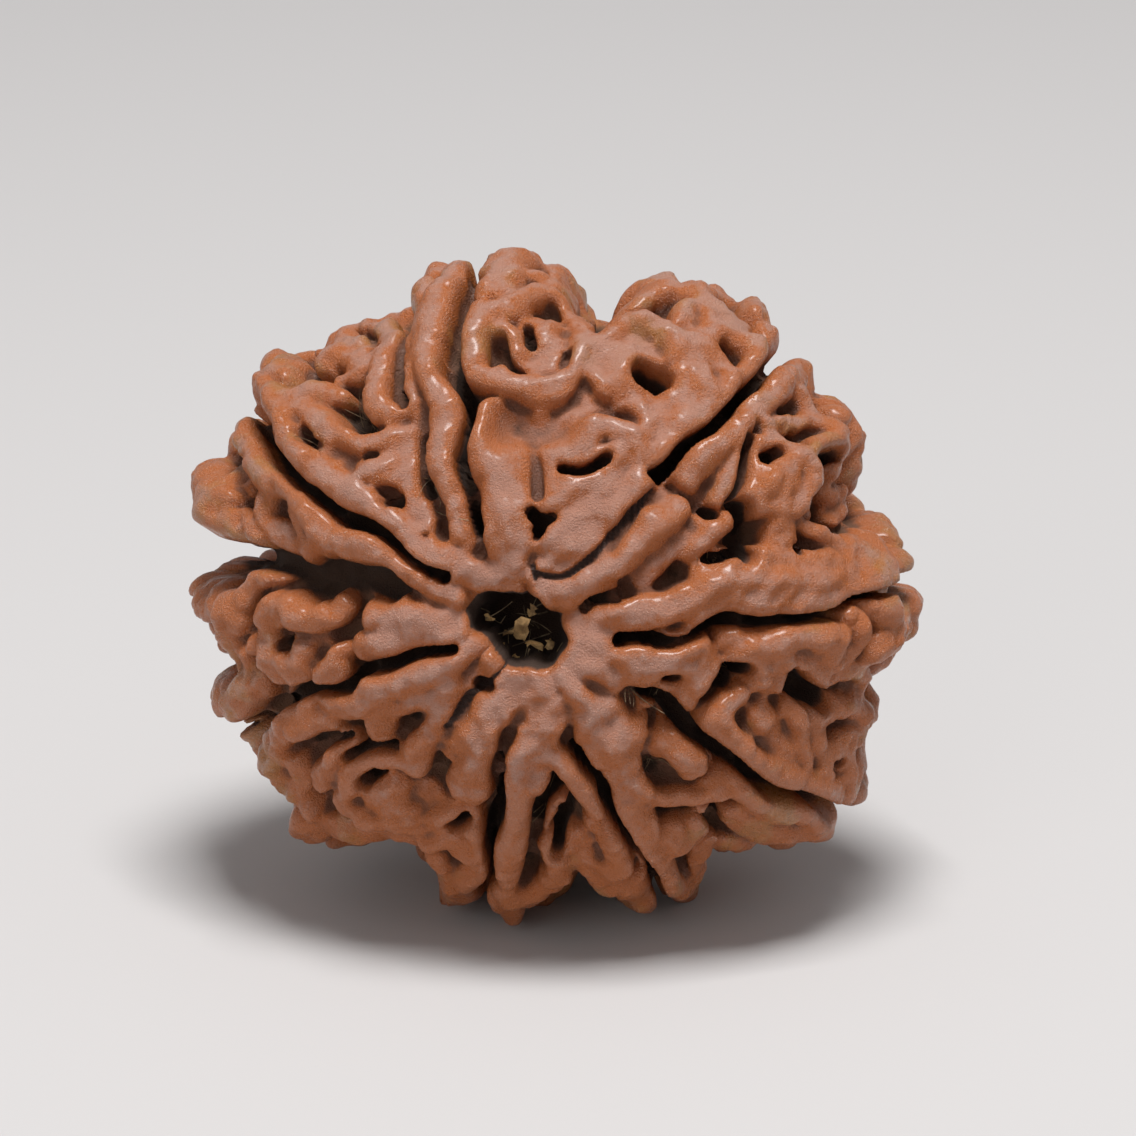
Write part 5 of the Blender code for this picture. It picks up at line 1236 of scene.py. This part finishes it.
def chip(mesh, x, y, z, wide, long, degrees):
    """Adds one thin ragged flake."""
    draw = random.Random(x * 7 + y)
    made = bmesh.ops.create_grid(mesh, x_segments=3, y_segments=4, size=0.5)
    tilt = Matrix.Rotation(math.radians(draw.uniform(15, 40)), 3, "X")
    turn = Matrix.Rotation(math.radians(degrees), 3, "Z") @ tilt
    for vert in made["verts"]:
        ragged = Vector((draw.uniform(-0.09, 0.09), draw.uniform(-0.09, 0.09), draw.uniform(-0.06, 0.06)))
        vert.co = Vector((x, y, z)) + turn @ (Vector((vert.co.x * wide, vert.co.y * long, 0)) + ragged)
    faces = list(dict.fromkeys(f for v in made["verts"] for f in v.link_faces))
    bmesh.ops.solidify(mesh, geom=faces, thickness=CHIP_THICK)


chips = bmesh.new()
for values in CHIPS:
    chip(chips, *values)
print(len(CHIPS), "chips")

# %% Finish of the dry remains
THREAD_PALE, THREAD_DEEP = (0.36, 0.26, 0.15, 1), (0.07, 0.042, 0.022, 1)
CHIP_PALE, CHIP_DEEP = (0.82, 0.52, 0.22, 1), (0.20, 0.11, 0.045, 1)


def fibre_finish(name, pale, deep):
    """Dry plant fibre, from pale tan to brown."""
    fibre = Finish(name)
    where = fibre.place()
    streak = fibre.noise(where, 2.2, 4.0, 0.6).above(0.35, 0.65)
    fine = fibre.noise(where, 16.0, 2.0, 0.5)
    shade = fibre.mix(streak * 0.8 + fine * 0.2, deep, pale)
    normal = fibre.add("ShaderNodeBump", Strength=0.6, Distance=0.00005, Height=fine)
    fibre.set(Base_Color=shade, Roughness=0.55 + fine * 0.3, Normal=normal)
    return fibre.material


def settle_remains(mesh, name, finish):
    """Carries a mesh of remains into the room and hands it to the bead."""
    bmesh.ops.recalc_face_normals(mesh, faces=mesh.faces[:])
    for vert, place in zip(mesh.verts, into_room([v.co for v in mesh.verts])):
        vert.co = place
    made = as_object(mesh, name)
    made.data.materials.append(finish)
    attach(made, "root")


settle_remains(threads, "dry_threads", fibre_finish("dry_thread", THREAD_PALE, THREAD_DEEP))
settle_remains(chips, "dry_chips", fibre_finish("dry_chip", CHIP_PALE, CHIP_DEEP))
print("remains in the hole and in", len(PIT_SPOTS), "pits")

# %% [markdown]
# ## Floor and light
#
# The bead stands on a plain pale floor, which isn't part of it. A wide soft light hangs overhead, a little
# to the front, as from a window and a pale ceiling, so that every rib has a bright top and a dark underside.
# A weak fill from the front keeps the grooves from going flat black.

# %% Pale floor
def pale_floor():
    """A wide plane at ground level."""
    mesh = bmesh.new()
    bmesh.ops.create_grid(mesh, x_segments=1, y_segments=1, size=1.5)
    made = as_object(mesh, "floor")
    paint = Finish("pale_floor")
    paint.set(Base_Color=(0.56, 0.545, 0.54, 1), Roughness=0.8)
    made.data.materials.append(paint.material)


pale_floor()

# %% Soft studio light
def soft_light(name, place, power, size):
    """A square area light aimed at the bead."""
    lamp = bpy.data.lights.new(name, "AREA")
    lamp.energy, lamp.size = power, size
    made = bpy.data.objects.new(name, lamp)
    made.location = place
    aim = Vector((0, 0, STAND_HEIGHT * MM)) - Vector(place)
    made.rotation_euler = aim.to_track_quat("-Z", "Y").to_euler()
    bpy.context.scene.collection.objects.link(made)


soft_light("overhead", (0.02, -0.05, 0.36), 1.45, 0.12)
soft_light("front_fill", (-0.16, -0.30, 0.14), 0.18, 0.20)
world = bpy.data.worlds.new("room")
world.use_nodes = True
world.node_tree.nodes["Background"].inputs["Color"].default_value = (0.95, 0.94, 0.95, 1)
world.node_tree.nodes["Background"].inputs["Strength"].default_value = 0.31
bpy.context.scene.world = world
bpy.context.scene.view_settings.view_transform = "Standard"
print(len(bpy.data.lights), "lights and a pale room")
